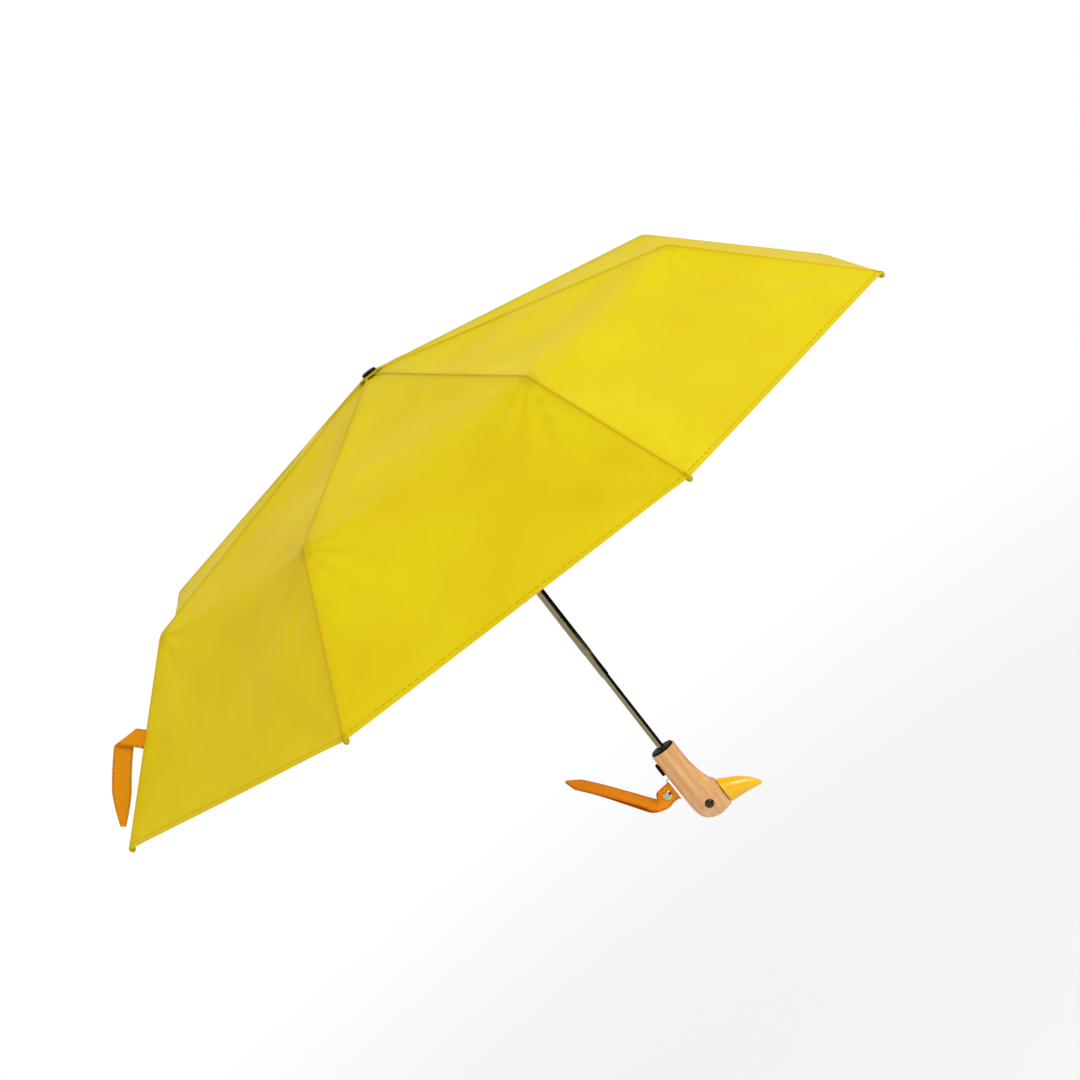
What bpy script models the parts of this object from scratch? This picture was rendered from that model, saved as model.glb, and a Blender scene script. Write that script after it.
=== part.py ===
"""Compact three-fold umbrella with a carved duck-head grip, open, standing on its shaft along +Z.

Metres, +Z up. The origin is on the shaft's axis at half the height of the grip, where a hand holds it.
The duck's beak points to +X, and the push button, the bail and the wrist strap are on the -X side.
Depths are measured down from the apex of the canopy.
"""

import math

import bmesh
import bpy
from mathutils import Vector

MM = 0.001
GAP = 0.3 * MM  # between pieces that touch

# The canopy and its ribs
RIBS = 8
FIRST_RIB_DEG = -157.5  # direction of rib 1, counted from +X about +Z
TIP_RADIUS = 485 * MM
TIP_DEPTH = 207 * MM
BEND_RADIUS = 331 * MM
BEND_DEPTH = 68.5 * MM
CLOTH = 0.6 * MM
GORE_SAG = 7 * MM
RIB_DROP = 3.6 * MM  # from the top of the cloth down to the centre line of the ribs

TOP_RIB = 160 * MM
STRETCHER_AT = 80 * MM  # along the top rib
RUNNER_DEPTH = 68 * MM

CHANNEL_H = 3.2 * MM
CHANNEL_WALL = 0.5 * MM
TOP_RIB_W = 4.2 * MM
MID_RIB_W = 3.4 * MM
MID_RIB_H = 2.6 * MM
TONGUE_W = 2.4 * MM
STRETCHER_W = 2.2 * MM
STRETCHER_H = 1.6 * MM
ROD_R = 1.1 * MM
ROD_PIVOT_DROP = 1.6 * MM  # of the outer rod's pivot, below the centre line
ELBOW_RISE = 1.65 * MM  # of the middle rib's pivot, above the centre line
FORK_REACH = 2.2 * MM
PIN_R = 0.45 * MM
TIP_R = 2.2 * MM

# The shaft
SHAFT = 484 * MM  # apex to the top of the grip
UPPER_END = 201 * MM  # depth of each tube's lower end
MIDDLE_END = 389 * MM
MIDDLE_TUBE = 200 * MM
MIDDLE_WAIST = 29 * MM  # the narrower stretch at the middle tube's lower end
LOWER_OVERLAP = 20 * MM
UPPER_TUBE_R = 5.6 * MM
UPPER_WALL = 0.65 * MM
TUBE_FIT = 0.35 * MM  # between a tube and what slides in it or along it
MIDDLE_WALL = 0.75 * MM
WAIST_STEP = 0.35 * MM
LOWER_WALL = 0.5 * MM
UPPER_BORE = UPPER_TUBE_R - UPPER_WALL
MIDDLE_TUBE_R = UPPER_BORE - TUBE_FIT
WAIST_R = MIDDLE_TUBE_R - WAIST_STEP
MIDDLE_BORE = MIDDLE_TUBE_R - MIDDLE_WALL
LOWER_TUBE_R = MIDDLE_BORE - TUBE_FIT
LOWER_BORE = LOWER_TUBE_R - LOWER_WALL
TUBE_TOP = 2.0 * MM  # depth of the upper tube's top
CLOTH_HOLE = UPPER_TUBE_R + 1.4 * MM
CAP_R = UPPER_TUBE_R + 2.4 * MM
CROWN_PIVOT_R = UPPER_TUBE_R + 3.9 * MM
CROWN_R = CROWN_PIVOT_R + 2.1 * MM
CROWN_TOP = 3.9 * MM
CROWN_H = 5.4 * MM
SLOT_W = 3.0 * MM
RUNNER_WALL = 1.75 * MM
RUNNER_R = UPPER_TUBE_R + TUBE_FIT + RUNNER_WALL
RUNNER_UP = 12 * MM
RUNNER_DOWN = 14 * MM
RUNNER_PIVOT_R = RUNNER_R + 3.3 * MM
RUNNER_FLANGE_R = RUNNER_PIVOT_R + 1.6 * MM
RUNNER_FLANGE_H = 6.0 * MM

# The grip
GRIP = 93 * MM  # top of the neck to the crown of the head
NECK_R = 13.7 * MM
BEAK_PLANE = 1.708 * NECK_R  # the flat joint between the head and the beak
DRAWN_GRIP = 93 * MM  # the size that the head's sections are drawn for
DRAWN_NECK_R = 13.7 * MM
COLLAR_H = 1.8 * MM
COLLAR_R = NECK_R - 1.3 * MM
SLEEVE_R = NECK_R - 5.7 * MM
SLEEVE = 20 * MM
TUBE_IN_GRIP = 40 * MM
EYE_R = 4.7 * MM
EYE_AT = (4.5 * MM, 0.7892 * GRIP)  # along +X, and down from the top of the neck
EYE_OUT = 1.139 * NECK_R  # half the head's width at the eyes
BUTTON_H = 14.6 * MM
BUTTON_W = 8.0 * MM
BUTTON_DOWN = 18.1 * MM  # centre of the button, below the top of the neck
BUTTON_PROUD = 3.2 * MM
BUTTON_SUNK = 1.5 * MM
POCKET_DEPTH = 4.6 * MM
BAIL_DOWN = 31 * MM
WIRE_R = 0.65 * MM
STRAP_W = 20 * MM
STRAP = 1.6 * MM
TIE_W = 14 * MM
TIE = 1.0 * MM
SNAP_R = 5.0 * MM

NECK_Z = GRIP / 2
APEX_Z = NECK_Z + SHAFT
SPRING_SEAT = 270 * MM  # depth of the opening spring's lower end
CAP_PLUG = 4.4 * MM  # depth of the cap's plug, which the middle tube comes up to
SPRING_TURNS = 18
ROUND = 32

YELLOW = (0.76, 0.62, 0.01)
ORANGE = (0.72, 0.36, 0.01)


def clear_scene():
    """Remove whatever the scene holds, so that the part is alone in it."""
    for obj in list(bpy.data.objects):
        bpy.data.objects.remove(obj, do_unlink=True)


def material(name, colour, roughness=0.5, metallic=0.0):
    """A Principled material, made once per name."""
    found = bpy.data.materials.get(name)
    if found:
        return found
    made = bpy.data.materials.new(name)
    made.use_nodes = True
    shader = made.node_tree.nodes["Principled BSDF"]
    shader.inputs["Base Color"].default_value = (*colour, 1.0)
    shader.inputs["Roughness"].default_value = roughness
    shader.inputs["Metallic"].default_value = metallic
    made.diffuse_color = (*colour, 1.0)
    return made


def cloth():
    return material("canopy_cloth", YELLOW, 0.65)


def webbing():
    return material("webbing", ORANGE, 0.8)


def steel():
    return material("plated_steel", (0.55, 0.53, 0.5), 0.25, 1.0)


def aluminium():
    return material("rib_aluminium", (0.6, 0.6, 0.62), 0.35, 1.0)


def black_plastic():
    return material("black_plastic", (0.012, 0.012, 0.013), 0.35)


def place(name, mesh, stuff, parent=None, location=(0, 0, 0), rotation=(0, 0, 0), smooth=True):
    """A named object for this mesh, placed in its parent's own frame."""
    obj = bpy.data.objects.new(name, mesh)
    bpy.context.scene.collection.objects.link(obj)
    if stuff and not mesh.materials:
        mesh.materials.append(stuff)
    obj.parent = parent
    obj.location = location
    obj.rotation_euler = rotation
    if smooth:
        mesh.shade_smooth()
        mesh.set_sharp_from_angle(angle=math.radians(35))
    return obj


def empty(name, parent=None, location=(0, 0, 0), rotation=(0, 0, 0)):
    """A frame that pieces hang from."""
    obj = bpy.data.objects.new(name, None)
    obj.empty_display_size = 0.01
    bpy.context.scene.collection.objects.link(obj)
    obj.parent = parent
    obj.location = location
    obj.rotation_euler = rotation
    return obj


def mesh_from(name, bm):
    """Close the books on a bmesh: one outward surface, as a mesh."""
    bmesh.ops.recalc_face_normals(bm, faces=bm.faces)
    mesh = bpy.data.meshes.new(name)
    bm.to_mesh(mesh)
    bm.free()
    return mesh


def turned(name, profile, steps=ROUND):
    """A solid of revolution about Z, from a closed outline of (radius, z) points."""
    bm = bmesh.new()
    verts = [bm.verts.new((r, 0, z)) for r, z in profile]
    edges = []
    for a, b in zip(verts, verts[1:] + verts[:1]):
        if a.co.x > 1e-7 or b.co.x > 1e-7:
            edges.append(bm.edges.new((a, b)))
    bmesh.ops.spin(
        bm, geom=verts + edges, cent=(0, 0, 0), axis=(0, 0, 1),
        angle=math.tau, steps=steps, use_merge=True,
    )
    bmesh.ops.remove_doubles(bm, verts=bm.verts, dist=1e-6)
    return mesh_from(name, bm)


def tube(name, outer, bore, low, high, steps=ROUND):
    """A plain round tube between two heights."""
    return turned(name, [(bore, low), (outer, low), (outer, high), (bore, high)], steps)


def prism(bm, outline, low, high, axis="Y"):
    """Extrude an outline of the XZ plane along Y, or of the XY plane along Z, into a bmesh."""
    if axis == "Y":
        verts = [bm.verts.new((x, low, z)) for x, z in outline]
        away = (0, high - low, 0)
    else:
        verts = [bm.verts.new((x, y, low)) for x, y in outline]
        away = (0, 0, high - low)
    face = bm.faces.new(verts)
    made = bmesh.ops.extrude_face_region(bm, geom=[face])
    moved = [g for g in made["geom"] if isinstance(g, bmesh.types.BMVert)]
    bmesh.ops.translate(bm, verts=moved, vec=away)


def prism_mesh(name, outline, low, high, axis="Y"):
    bm = bmesh.new()
    prism(bm, outline, low, high, axis)
    return mesh_from(name, bm)


def loft(name, rings):
    """A closed solid through rings that hold the same number of points."""
    bm = bmesh.new()
    loops = [[bm.verts.new(p) for p in ring] for ring in rings]
    for ring, following in zip(loops, loops[1:]):
        for i, vert in enumerate(ring):
            j = (i + 1) % len(ring)
            bm.faces.new((vert, ring[j], following[j], following[i]))
    bm.faces.new(loops[0])
    bm.faces.new(loops[-1])
    return mesh_from(name, bm)


def capsule(height, width, steps=8):
    """The outline of a slot with round ends: (across, up) points."""
    r = width / 2
    reach = height / 2 - r
    outline = []
    for side in (1, -1):
        for i in range(steps + 1):
            angle = math.pi * i / steps
            outline.append((side * r * math.cos(angle), side * (reach + r * math.sin(angle))))
    return outline


def cutter(name, mesh, parent=None, location=(0, 0, 0), rotation=(0, 0, 0)):
    """A shape that only takes material away."""
    obj = place(name, mesh, None, parent, location, rotation, smooth=False)
    obj.hide_render = True
    obj.display_type = "WIRE"
    return obj


def cut(obj, other, operation="DIFFERENCE"):
    boolean = obj.modifiers.new(other.name, "BOOLEAN")
    boolean.object = other
    boolean.operation = operation
    boolean.solver = "EXACT"


def united(name, meshes):
    """One closed mesh out of several (sign, mesh) pairs: + joins the mesh to the first, - cuts it away."""
    base = place(name, meshes[0][1], None, smooth=False)
    helpers = []
    for sign, mesh in meshes[1:]:
        helper = place(name + "_tool", mesh, None, smooth=False)
        cut(base, helper, "UNION" if sign == "+" else "DIFFERENCE")
        helpers.append(helper)
    graph = bpy.context.evaluated_depsgraph_get()
    graph.update()
    mesh = bpy.data.meshes.new_from_object(base.evaluated_get(graph))
    mesh.name = name
    for obj in [base, *helpers]:
        bpy.data.objects.remove(obj, do_unlink=True)
    return mesh


def wire(name, points, radius, sides=2):
    """A curve object's mesh: a round wire through hand-placed points."""
    curve = bpy.data.curves.new(name, "CURVE")
    curve.dimensions = "3D"
    spline = curve.splines.new("POLY")
    spline.points.add(len(points) - 1)
    for point, place_at in zip(spline.points, points):
        point.co = (*place_at, 1)
    curve.bevel_depth = radius
    curve.bevel_resolution = sides
    curve.use_fill_caps = True
    obj = bpy.data.objects.new(name, curve)
    bpy.context.scene.collection.objects.link(obj)
    return obj


def along_route(points, steps):
    """Points on a smooth curve (Catmull-Rom) through the given ones."""
    points = [Vector(p) for p in points]
    ends = [2 * points[0] - points[1], *points, 2 * points[-1] - points[-2]]
    out = []
    for i in range(len(points) - 1):
        a, b, c, d = ends[i : i + 4]
        for k in range(steps):
            t = k / steps
            out.append(
                0.5 * (2 * b + (c - a) * t + (2 * a - 5 * b + 4 * c - d) * t * t
                       + (3 * b - a - 3 * c + d) * t ** 3)
            )
    return [*out, points[-1]]


def band(name, route, widths, width, thick, steps=4):
    """A flat band along a route, with its width turned towards a hand-placed direction at each point."""
    path = along_route(route, steps)
    across = along_route(widths, steps)
    rings = []
    for i, point in enumerate(path):
        tangent = (path[min(i + 1, len(path) - 1)] - path[max(i - 1, 0)]).normalized()
        side = (across[i] - tangent * across[i].dot(tangent)).normalized()
        normal = tangent.cross(side)
        rings.append([
            point + side * (a * width / 2) + normal * (b * thick / 2)
            for a, b in ((-1, -1), (1, -1), (1, 1), (-1, 1))
        ])
    return loft(name, rings)


# ---------------------------------------------------------------- canopy


def slope(start, end):
    """Angle of the line between two (radius, depth) points, down from level."""
    return math.atan2(end[1] - start[1], end[0] - start[0])


INNER_SLOPE = slope((0, 0), (BEND_RADIUS, BEND_DEPTH))
OUTER_SLOPE = slope((BEND_RADIUS, BEND_DEPTH), (TIP_RADIUS, TIP_DEPTH))
CROWN_PIVOT = (
    CROWN_PIVOT_R,
    CROWN_PIVOT_R * math.tan(INNER_SLOPE) + RIB_DROP / math.cos(INNER_SLOPE),
)
BEND_TURN = OUTER_SLOPE - INNER_SLOPE
KNEE_SHIFT = RIB_DROP * math.tan(BEND_TURN / 2)
INNER_RUN = (BEND_RADIUS - CROWN_PIVOT_R) / math.cos(INNER_SLOPE)
MIDDLE_RIB = (
    INNER_RUN - TOP_RIB - KNEE_SHIFT - RIB_DROP * math.tan(INNER_SLOPE)
)
OUTER_RIB = (
    math.hypot(TIP_RADIUS - BEND_RADIUS, TIP_DEPTH - BEND_DEPTH) - KNEE_SHIFT
)
STRETCHER_TOP = (
    CROWN_PIVOT[0] + STRETCHER_AT * math.cos(INNER_SLOPE),
    CROWN_PIVOT[1] + STRETCHER_AT * math.sin(INNER_SLOPE),
)
RUNNER_PIVOT = (RUNNER_PIVOT_R, RUNNER_DEPTH)
STRETCHER_SLOPE = slope(STRETCHER_TOP, RUNNER_PIVOT)
STRETCHER = math.dist(STRETCHER_TOP, RUNNER_PIVOT)


def rib_line():
    """Stations of the cloth along a rib: (radius, depth, slope), with the bend rounded over."""
    ease = 16 * MM
    inner = [CLOTH_HOLE, 90 * MM, 180 * MM, 260 * MM, BEND_RADIUS - ease]
    stations = [(r, r * math.tan(INNER_SLOPE), INNER_SLOPE) for r in inner]
    stations.append((BEND_RADIUS, BEND_DEPTH, (INNER_SLOPE + OUTER_SLOPE) / 2))
    for share in (0.12, 0.4, 0.7, 1.0):
        stations.append((
            BEND_RADIUS + share * (TIP_RADIUS - BEND_RADIUS),
            BEND_DEPTH + share * (TIP_DEPTH - BEND_DEPTH),
            OUTER_SLOPE,
        ))
    return stations


def gore_mesh():
    """One panel of cloth from rib to rib, a closed sheet whose middle lies on +X."""
    half = math.pi / RIBS
    across = 6
    stations = rib_line()
    top, under = [], []
    for i, (radius, depth, tilt) in enumerate(stations):
        chord = radius * math.cos(half)
        sag = GORE_SAG * math.sin(math.pi * (radius - CLOTH_HOLE) / (TIP_RADIUS - CLOTH_HOLE))
        upper, lower = [], []
        for k in range(across + 1):
            share = 2 * k / across - 1
            y = share * (radius * math.sin(half) - GAP / 2)
            drop = sag * (1 - share * share)
            x = chord - drop * math.sin(tilt)
            z = -depth - drop * math.cos(tilt)
            away = Vector((x, y, 0)).normalized()
            upper.append(Vector((x, y, z)))
            lower.append(
                Vector((x, y, z)) - CLOTH * (away * math.sin(tilt) + Vector((0, 0, math.cos(tilt))))
            )
        top.append(upper)
        under.append(lower)
    bm = bmesh.new()
    grid = [[[bm.verts.new(p) for p in row] for row in sheet] for sheet in (top, under)]
    last = len(stations) - 1
    for sheet in grid:
        for i in range(last):
            for k in range(across):
                bm.faces.new((sheet[i][k], sheet[i + 1][k], sheet[i + 1][k + 1], sheet[i][k + 1]))
    for i in range(last):
        for k in (0, across):
            bm.faces.new((grid[0][i][k], grid[0][i + 1][k], grid[1][i + 1][k], grid[1][i][k]))
    for k in range(across):
        for i in (0, last):
            bm.faces.new((grid[0][i][k], grid[0][i][k + 1], grid[1][i][k + 1], grid[1][i][k]))
    return mesh_from("gore", bm)


def channel(name, length, width, height, start_rise, end_rise):
    """A folded-steel rib link, open underneath, with a tongue at its start pivot and a fork at its end one.

    X runs along the link from the start pivot. The rises are the pivots' heights above the centre line.
    """
    half = height / 2
    z0 = -start_rise
    body_start = 5.5 * MM
    fork_start = length - 6.0 * MM
    reach = 1.2 * MM
    crest = max(z0 + half, PIN_R + 0.2 * MM)
    tongue = [
        (-reach, z0 - half), (body_start + 3 * MM, z0 - half), (body_start + 3 * MM, z0 + half - 0.2 * MM),
        (reach + 1.5 * MM, z0 + half - 0.2 * MM), (reach, crest), (-reach, crest),
    ]
    wall = [
        (body_start, z0 - half), (length + FORK_REACH, z0 - half), (length + FORK_REACH, z0 + half),
        (body_start, z0 + half),
    ]
    if end_rise > 0:
        wall[3:3] = [
            (length + FORK_REACH, z0 + end_rise + PIN_R),
            (length - FORK_REACH, z0 + end_rise + PIN_R),
            (length - FORK_REACH - 1.5 * MM, z0 + half),
        ]
        wall.remove((length + FORK_REACH, z0 + half))
    else:
        wall[1:2] = [
            (length - FORK_REACH - 1.5 * MM, z0 - half),
            (length - FORK_REACH, z0 + end_rise - 0.9 * MM),
            (length + FORK_REACH, z0 + end_rise - 0.9 * MM),
        ]
    roof = [
        (body_start, z0 + half - CHANNEL_WALL), (fork_start, z0 + half - CHANNEL_WALL),
        (fork_start, z0 + half), (body_start, z0 + half),
    ]
    parts = [("+", prism_mesh(name + "_roof", roof, -width / 2, width / 2))]
    parts.append(("+", prism_mesh(name + "_tongue", tongue, -TONGUE_W / 2, TONGUE_W / 2)))
    web = [
        (body_start - CHANNEL_WALL, z0 - half), (body_start + CHANNEL_WALL, z0 - half),
        (body_start + CHANNEL_WALL, z0 + half), (body_start - CHANNEL_WALL, z0 + half),
    ]
    parts.append(("+", prism_mesh(name + "_web", web, -width / 2, width / 2)))
    for side in (-1, 1):
        low, high = sorted((side * width / 2, side * (width / 2 - CHANNEL_WALL)))
        parts.append(("+", prism_mesh(name + "_wall", wall, low, high)))
    return united(name, parts)


def stretcher_mesh():
    """The strut from a top rib down to the runner, X along it from its upper pivot."""
    half = STRETCHER_H / 2
    outline = []
    for end, turn in ((0, math.pi / 2), (STRETCHER, -math.pi / 2)):
        for i in range(5):
            angle = turn + math.pi * i / 4
            outline.append((end + half * math.cos(angle), half * math.sin(angle)))
    return prism_mesh("stretcher", outline, -STRETCHER_W / 2, STRETCHER_W / 2)


def outer_rib_mesh():
    """A round rod with a flat lug at its pivot and a ball at its tip. X runs parallel to the rod."""
    rise = ROD_PIVOT_DROP * math.cos(BEND_TURN)
    shift = ROD_PIVOT_DROP * math.sin(BEND_TURN)
    length = OUTER_RIB + shift
    rod = turned("rod", [(0, 4 * MM), (ROD_R, 4 * MM), (ROD_R, length), (0, length)], 10)
    ball = turned(
        "ball",
        [(TIP_R * math.sin(a), length - TIP_R - TIP_R * math.cos(a))
         for a in (math.pi * i / 6 for i in range(7))],
        10,
    )
    lug = [
        (-1.1 * MM, -1.0 * MM), (1.2 * MM, -1.0 * MM), (7.5 * MM, rise - ROD_R * 0.8),
        (7.5 * MM, rise + ROD_R * 0.8), (1.5 * MM, rise + ROD_R * 0.8), (-1.1 * MM, rise * 0.6),
    ]
    for mesh in (rod, ball):
        for vert in mesh.vertices:
            x, y, z = vert.co
            vert.co = (z, y, rise - x)
    lug_mesh = prism_mesh("lug", lug, -1.0 * MM, 1.0 * MM)
    return united("outer_rib", [("+", rod), ("+", ball), ("+", lug_mesh)])


def build_canopy(crown):
    """The gores, and each rib's chain of links hanging from the crown."""
    gore = gore_mesh()
    top = channel("top_rib", TOP_RIB, TOP_RIB_W, CHANNEL_H, 0, ELBOW_RISE)
    middle = channel("middle_rib", MIDDLE_RIB, MID_RIB_W, MID_RIB_H, ELBOW_RISE, -ROD_PIVOT_DROP)
    strut = stretcher_mesh()
    rod = outer_rib_mesh()
    step = math.tau / RIBS
    for n in range(RIBS):
        heading = math.radians(FIRST_RIB_DEG) + n * step
        place(f"canopy_gore_{n + 1}", gore, cloth(), crown, rotation=(0, 0, heading + step / 2))
        pivot = (
            CROWN_PIVOT[0] * math.cos(heading), CROWN_PIVOT[0] * math.sin(heading), -CROWN_PIVOT[1],
        )
        top_rib = place(
            f"top_rib_{n + 1}", top, aluminium(), crown, pivot, (0, INNER_SLOPE, heading), smooth=False
        )
        place(
            f"stretcher_{n + 1}", strut, aluminium(), top_rib, (STRETCHER_AT, 0, 0),
            (0, STRETCHER_SLOPE - INNER_SLOPE, 0), smooth=False,
        )
        middle_rib = place(
            f"middle_rib_{n + 1}", middle, aluminium(), top_rib, (TOP_RIB, 0, ELBOW_RISE), smooth=False
        )
        place(
            f"outer_rib_{n + 1}", rod, steel(), middle_rib,
            (MIDDLE_RIB, 0, -ELBOW_RISE - ROD_PIVOT_DROP), (0, BEND_TURN, 0),
        )
    build_tie_band(crown)


def build_tie_band(crown):
    """The band that ties the folded umbrella, sewn to the cloth beside rib 1.

    The route is in millimetres up the rib from its tip, out from the cloth, and towards rib 8.
    """
    route = [
        (106.0, 4.1, 3), (107.0, 13.0, 8), (102.0, 22.5, 16), (90.0, 25.5, 20),
        (68.0, 20.5, 20), (43.0, 14.0, 18), (18.7, 7.4, 16),
    ]
    down_rib = Vector((math.cos(OUTER_SLOPE), -math.sin(OUTER_SLOPE)))
    outwards = Vector((math.sin(OUTER_SLOPE), math.cos(OUTER_SLOPE)))
    tip = Vector((TIP_RADIUS, -TIP_DEPTH))
    points = []
    for up, out, aside in route:
        spot = tip - up * MM * down_rib + out * MM * outwards
        points.append((spot.x, -aside * MM, spot.y))
    widths = [
        (0.7, 0.7, 0.1), (0.6, 0.8, 0), (0.3, 0.8, -0.2), (-0.5, 0.5, -0.5), (-0.7, 0.55, -0.3),
        (-0.75, 0.6, -0.25), (-0.75, 0.6, -0.25),
    ]
    heading = math.radians(FIRST_RIB_DEG)
    mesh = band(
        "tie_band",
        points,
        [(r, -t, -d) for r, d, t in widths],
        TIE_W, TIE,
    )
    place("tie_band", mesh, webbing(), crown, rotation=(0, 0, heading))


# ---------------------------------------------------------------- shaft


def slotted(name, profile, slot_from, slot_to, low, high):
    """A turned hub with a slot for each rib, cut from one radius outwards and right through its rim."""
    base = turned(name, profile)
    tools = []
    for n in range(RIBS):
        heading = math.radians(FIRST_RIB_DEG) + n * math.tau / RIBS
        along = Vector((math.cos(heading), math.sin(heading)))
        side = Vector((-along.y, along.x)) * (SLOT_W / 2)
        corners = (along * slot_from + side, along * slot_from - side,
                   along * slot_to - side, along * slot_to + side)
        tools.append(("-", prism_mesh(name + "_slot", [(c.x, c.y) for c in corners], low, high, "Z")))
    return united(name, [("+", base), *tools])


def build_shaft(crown):
    """Three tubes, the crown and its cap, the runner, and the opening spring with its seat."""
    upper = tube("upper_tube", UPPER_TUBE_R, UPPER_BORE, -UPPER_END, -TUBE_TOP)
    place("upper_tube", upper, steel(), crown)
    middle_top = MIDDLE_TUBE - MIDDLE_END
    crimp = 1.2 * MM
    middle = turned("middle_tube", [
        (MIDDLE_BORE, -MIDDLE_END), (WAIST_R, -MIDDLE_END), (WAIST_R, -MIDDLE_END + MIDDLE_WAIST),
        (MIDDLE_TUBE_R, -MIDDLE_END + MIDDLE_WAIST + crimp), (MIDDLE_TUBE_R, middle_top),
        (MIDDLE_BORE, middle_top),
    ])
    place("middle_tube", middle, steel(), crown)
    lower_low = NECK_Z - TUBE_IN_GRIP
    lower = tube("lower_tube", LOWER_TUBE_R, LOWER_BORE, lower_low, APEX_Z - MIDDLE_END + LOWER_OVERLAP)
    place("lower_tube", lower, steel())

    hub_bore = UPPER_TUBE_R + GAP
    notch = [
        (hub_bore, -CROWN_TOP - CROWN_H), (CROWN_R, -CROWN_TOP - CROWN_H), (CROWN_R, -CROWN_TOP),
        (hub_bore, -CROWN_TOP),
    ]
    mesh = slotted("top_notch", notch, hub_bore + 0.9 * MM, 2 * CROWN_R,
                   -CROWN_TOP - 2 * CROWN_H, -CROWN_TOP + CROWN_H)
    place("top_notch", mesh, black_plastic(), crown)

    cap_low = -0.8 * MM
    plug_r = UPPER_BORE - GAP
    cap = turned("top_cap", [
        (0, -CAP_PLUG), (plug_r, -CAP_PLUG), (plug_r, cap_low), (CAP_R, cap_low),
        (CAP_R, 0.9 * MM), (CAP_R - 0.5 * MM, 1.9 * MM), (CAP_R - 2.4 * MM, 2.5 * MM), (0, 2.5 * MM),
    ])
    place("top_cap", cap, black_plastic(), crown)

    runner_bore = UPPER_TUBE_R + 0.35 * MM
    rim = RUNNER_FLANGE_H / 2
    runner = [
        (runner_bore, -RUNNER_DOWN), (RUNNER_R, -RUNNER_DOWN), (RUNNER_R + 1.2 * MM, -RUNNER_DOWN + 2 * MM),
        (RUNNER_R + 1.2 * MM, -rim - 2 * MM), (RUNNER_R, -rim), (RUNNER_FLANGE_R, -rim),
        (RUNNER_FLANGE_R, rim), (RUNNER_R, rim), (RUNNER_R, RUNNER_UP), (runner_bore, RUNNER_UP),
    ]
    mesh = slotted("runner", runner, RUNNER_R + 1.3 * MM, 2 * RUNNER_FLANGE_R, -2 * rim, 2 * rim)
    place("runner", mesh, black_plastic(), crown, (0, 0, -RUNNER_DEPTH))

    seat = turned("spring_seat", [
        (0, -4 * MM), (MIDDLE_BORE - GAP, -4 * MM), (MIDDLE_BORE - GAP, 0), (0, 0),
    ], 16)
    place("spring_seat", seat, black_plastic(), crown, (0, 0, -SPRING_SEAT))
    length = SPRING_SEAT - CAP_PLUG
    coil_r = MIDDLE_BORE - 1.4 * MM
    per_turn = 8
    count = SPRING_TURNS * per_turn
    points = [
        (
            coil_r * math.cos(math.tau * i / per_turn),
            coil_r * math.sin(math.tau * i / per_turn),
            APEX_Z - SPRING_SEAT + 1.0 * MM + (length - 2 * MM) * i / count,
        )
        for i in range(count + 1)
    ]
    spring = wire("opening_spring", points, 0.5 * MM, 0)
    spring.data.materials.append(steel())


# ---------------------------------------------------------------- grip


def head_sections():
    """(down from the top of the neck, back, front, half width) of the grip.

    The shape is drawn for a grip 93 long with a neck of radius 13.7, and follows GRIP and NECK_R.
    """
    drawn = [
        ((COLLAR_H + GAP) / MM * DRAWN_GRIP / GRIP, -13.7, 13.7, 13.7),
        (14, -14.0, 13.7, 13.8),
        (24, -14.1, 13.9, 13.9),
        (33, -14.0, 14.7, 14.0),
        (42, -13.8, 16.2, 14.3),
        (49.2, -13.7, 18.0, 14.8),
        (55, -13.7, 20.4, 15.3),
        (59.4, -13.7, 23.6, 15.6),
        (65, -13.7, 26.0, 15.8),
        (72, -13.3, 27.0, 15.6),
        (78, -12.3, 27.0, 14.8),
        (83, -10.6, 26.5, 13.4),
        (87, -7.4, 25.4, 11.2),
        (90, -3.2, 22.6, 8.2),
        (91.9, 1.6, 16.0, 4.6),
        (92.8, 5.0, 11.0, 1.8),
    ]
    return [
        (down * MM * GRIP / DRAWN_GRIP, *(x * MM * NECK_R / DRAWN_NECK_R for x in widths))
        for down, *widths in drawn
    ]


def grip_mesh():
    """The carved neck and head, cut flat where the beak is glued on."""
    around = 28
    rings = []
    for down, back, front, half in head_sections():
        centre = (front + back) / 2
        reach = (front - back) / 2
        ring = []
        for i in range(around):
            angle = math.tau * i / around
            x = min(centre + reach * math.cos(angle), BEAK_PLANE)
            ring.append((x, half * math.sin(angle), NECK_Z - down))
        rings.append(ring)
    return loft("handle_grip", rings)


def beak_mesh():
    """The beak, from its flat joint with the head to its tip."""
    sections = [  # past the joint, upper edge and lower edge down from the top of the neck, half width
        (0.3, 60.2, 89.6, 11.4),
        (2.6, 61.9, 90.0, 11.3),
        (7.6, 64.6, 90.2, 10.7),
        (14.6, 68.6, 90.8, 9.2),
        (23.4, 74.2, 91.8, 7.0),
        (29.4, 80.2, 92.7, 5.2),
        (34.0, 86.2, 93.4, 3.4),
        (36.4, 90.4, 93.6, 1.7),
    ]
    tall, wide = GRIP / DRAWN_GRIP, NECK_R / DRAWN_NECK_R
    around = 20
    rings = []
    for x, upper, lower, half in sections:
        centre, reach = (upper + lower) / 2, (lower - upper) / 2
        rings.append([
            (
                BEAK_PLANE + x * MM,
                half * wide * MM * math.sin(math.tau * i / around),
                NECK_Z - (centre + reach * math.cos(math.tau * i / around)) * tall * MM,
            )
            for i in range(around)
        ])
    return loft("beak", rings)


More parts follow.
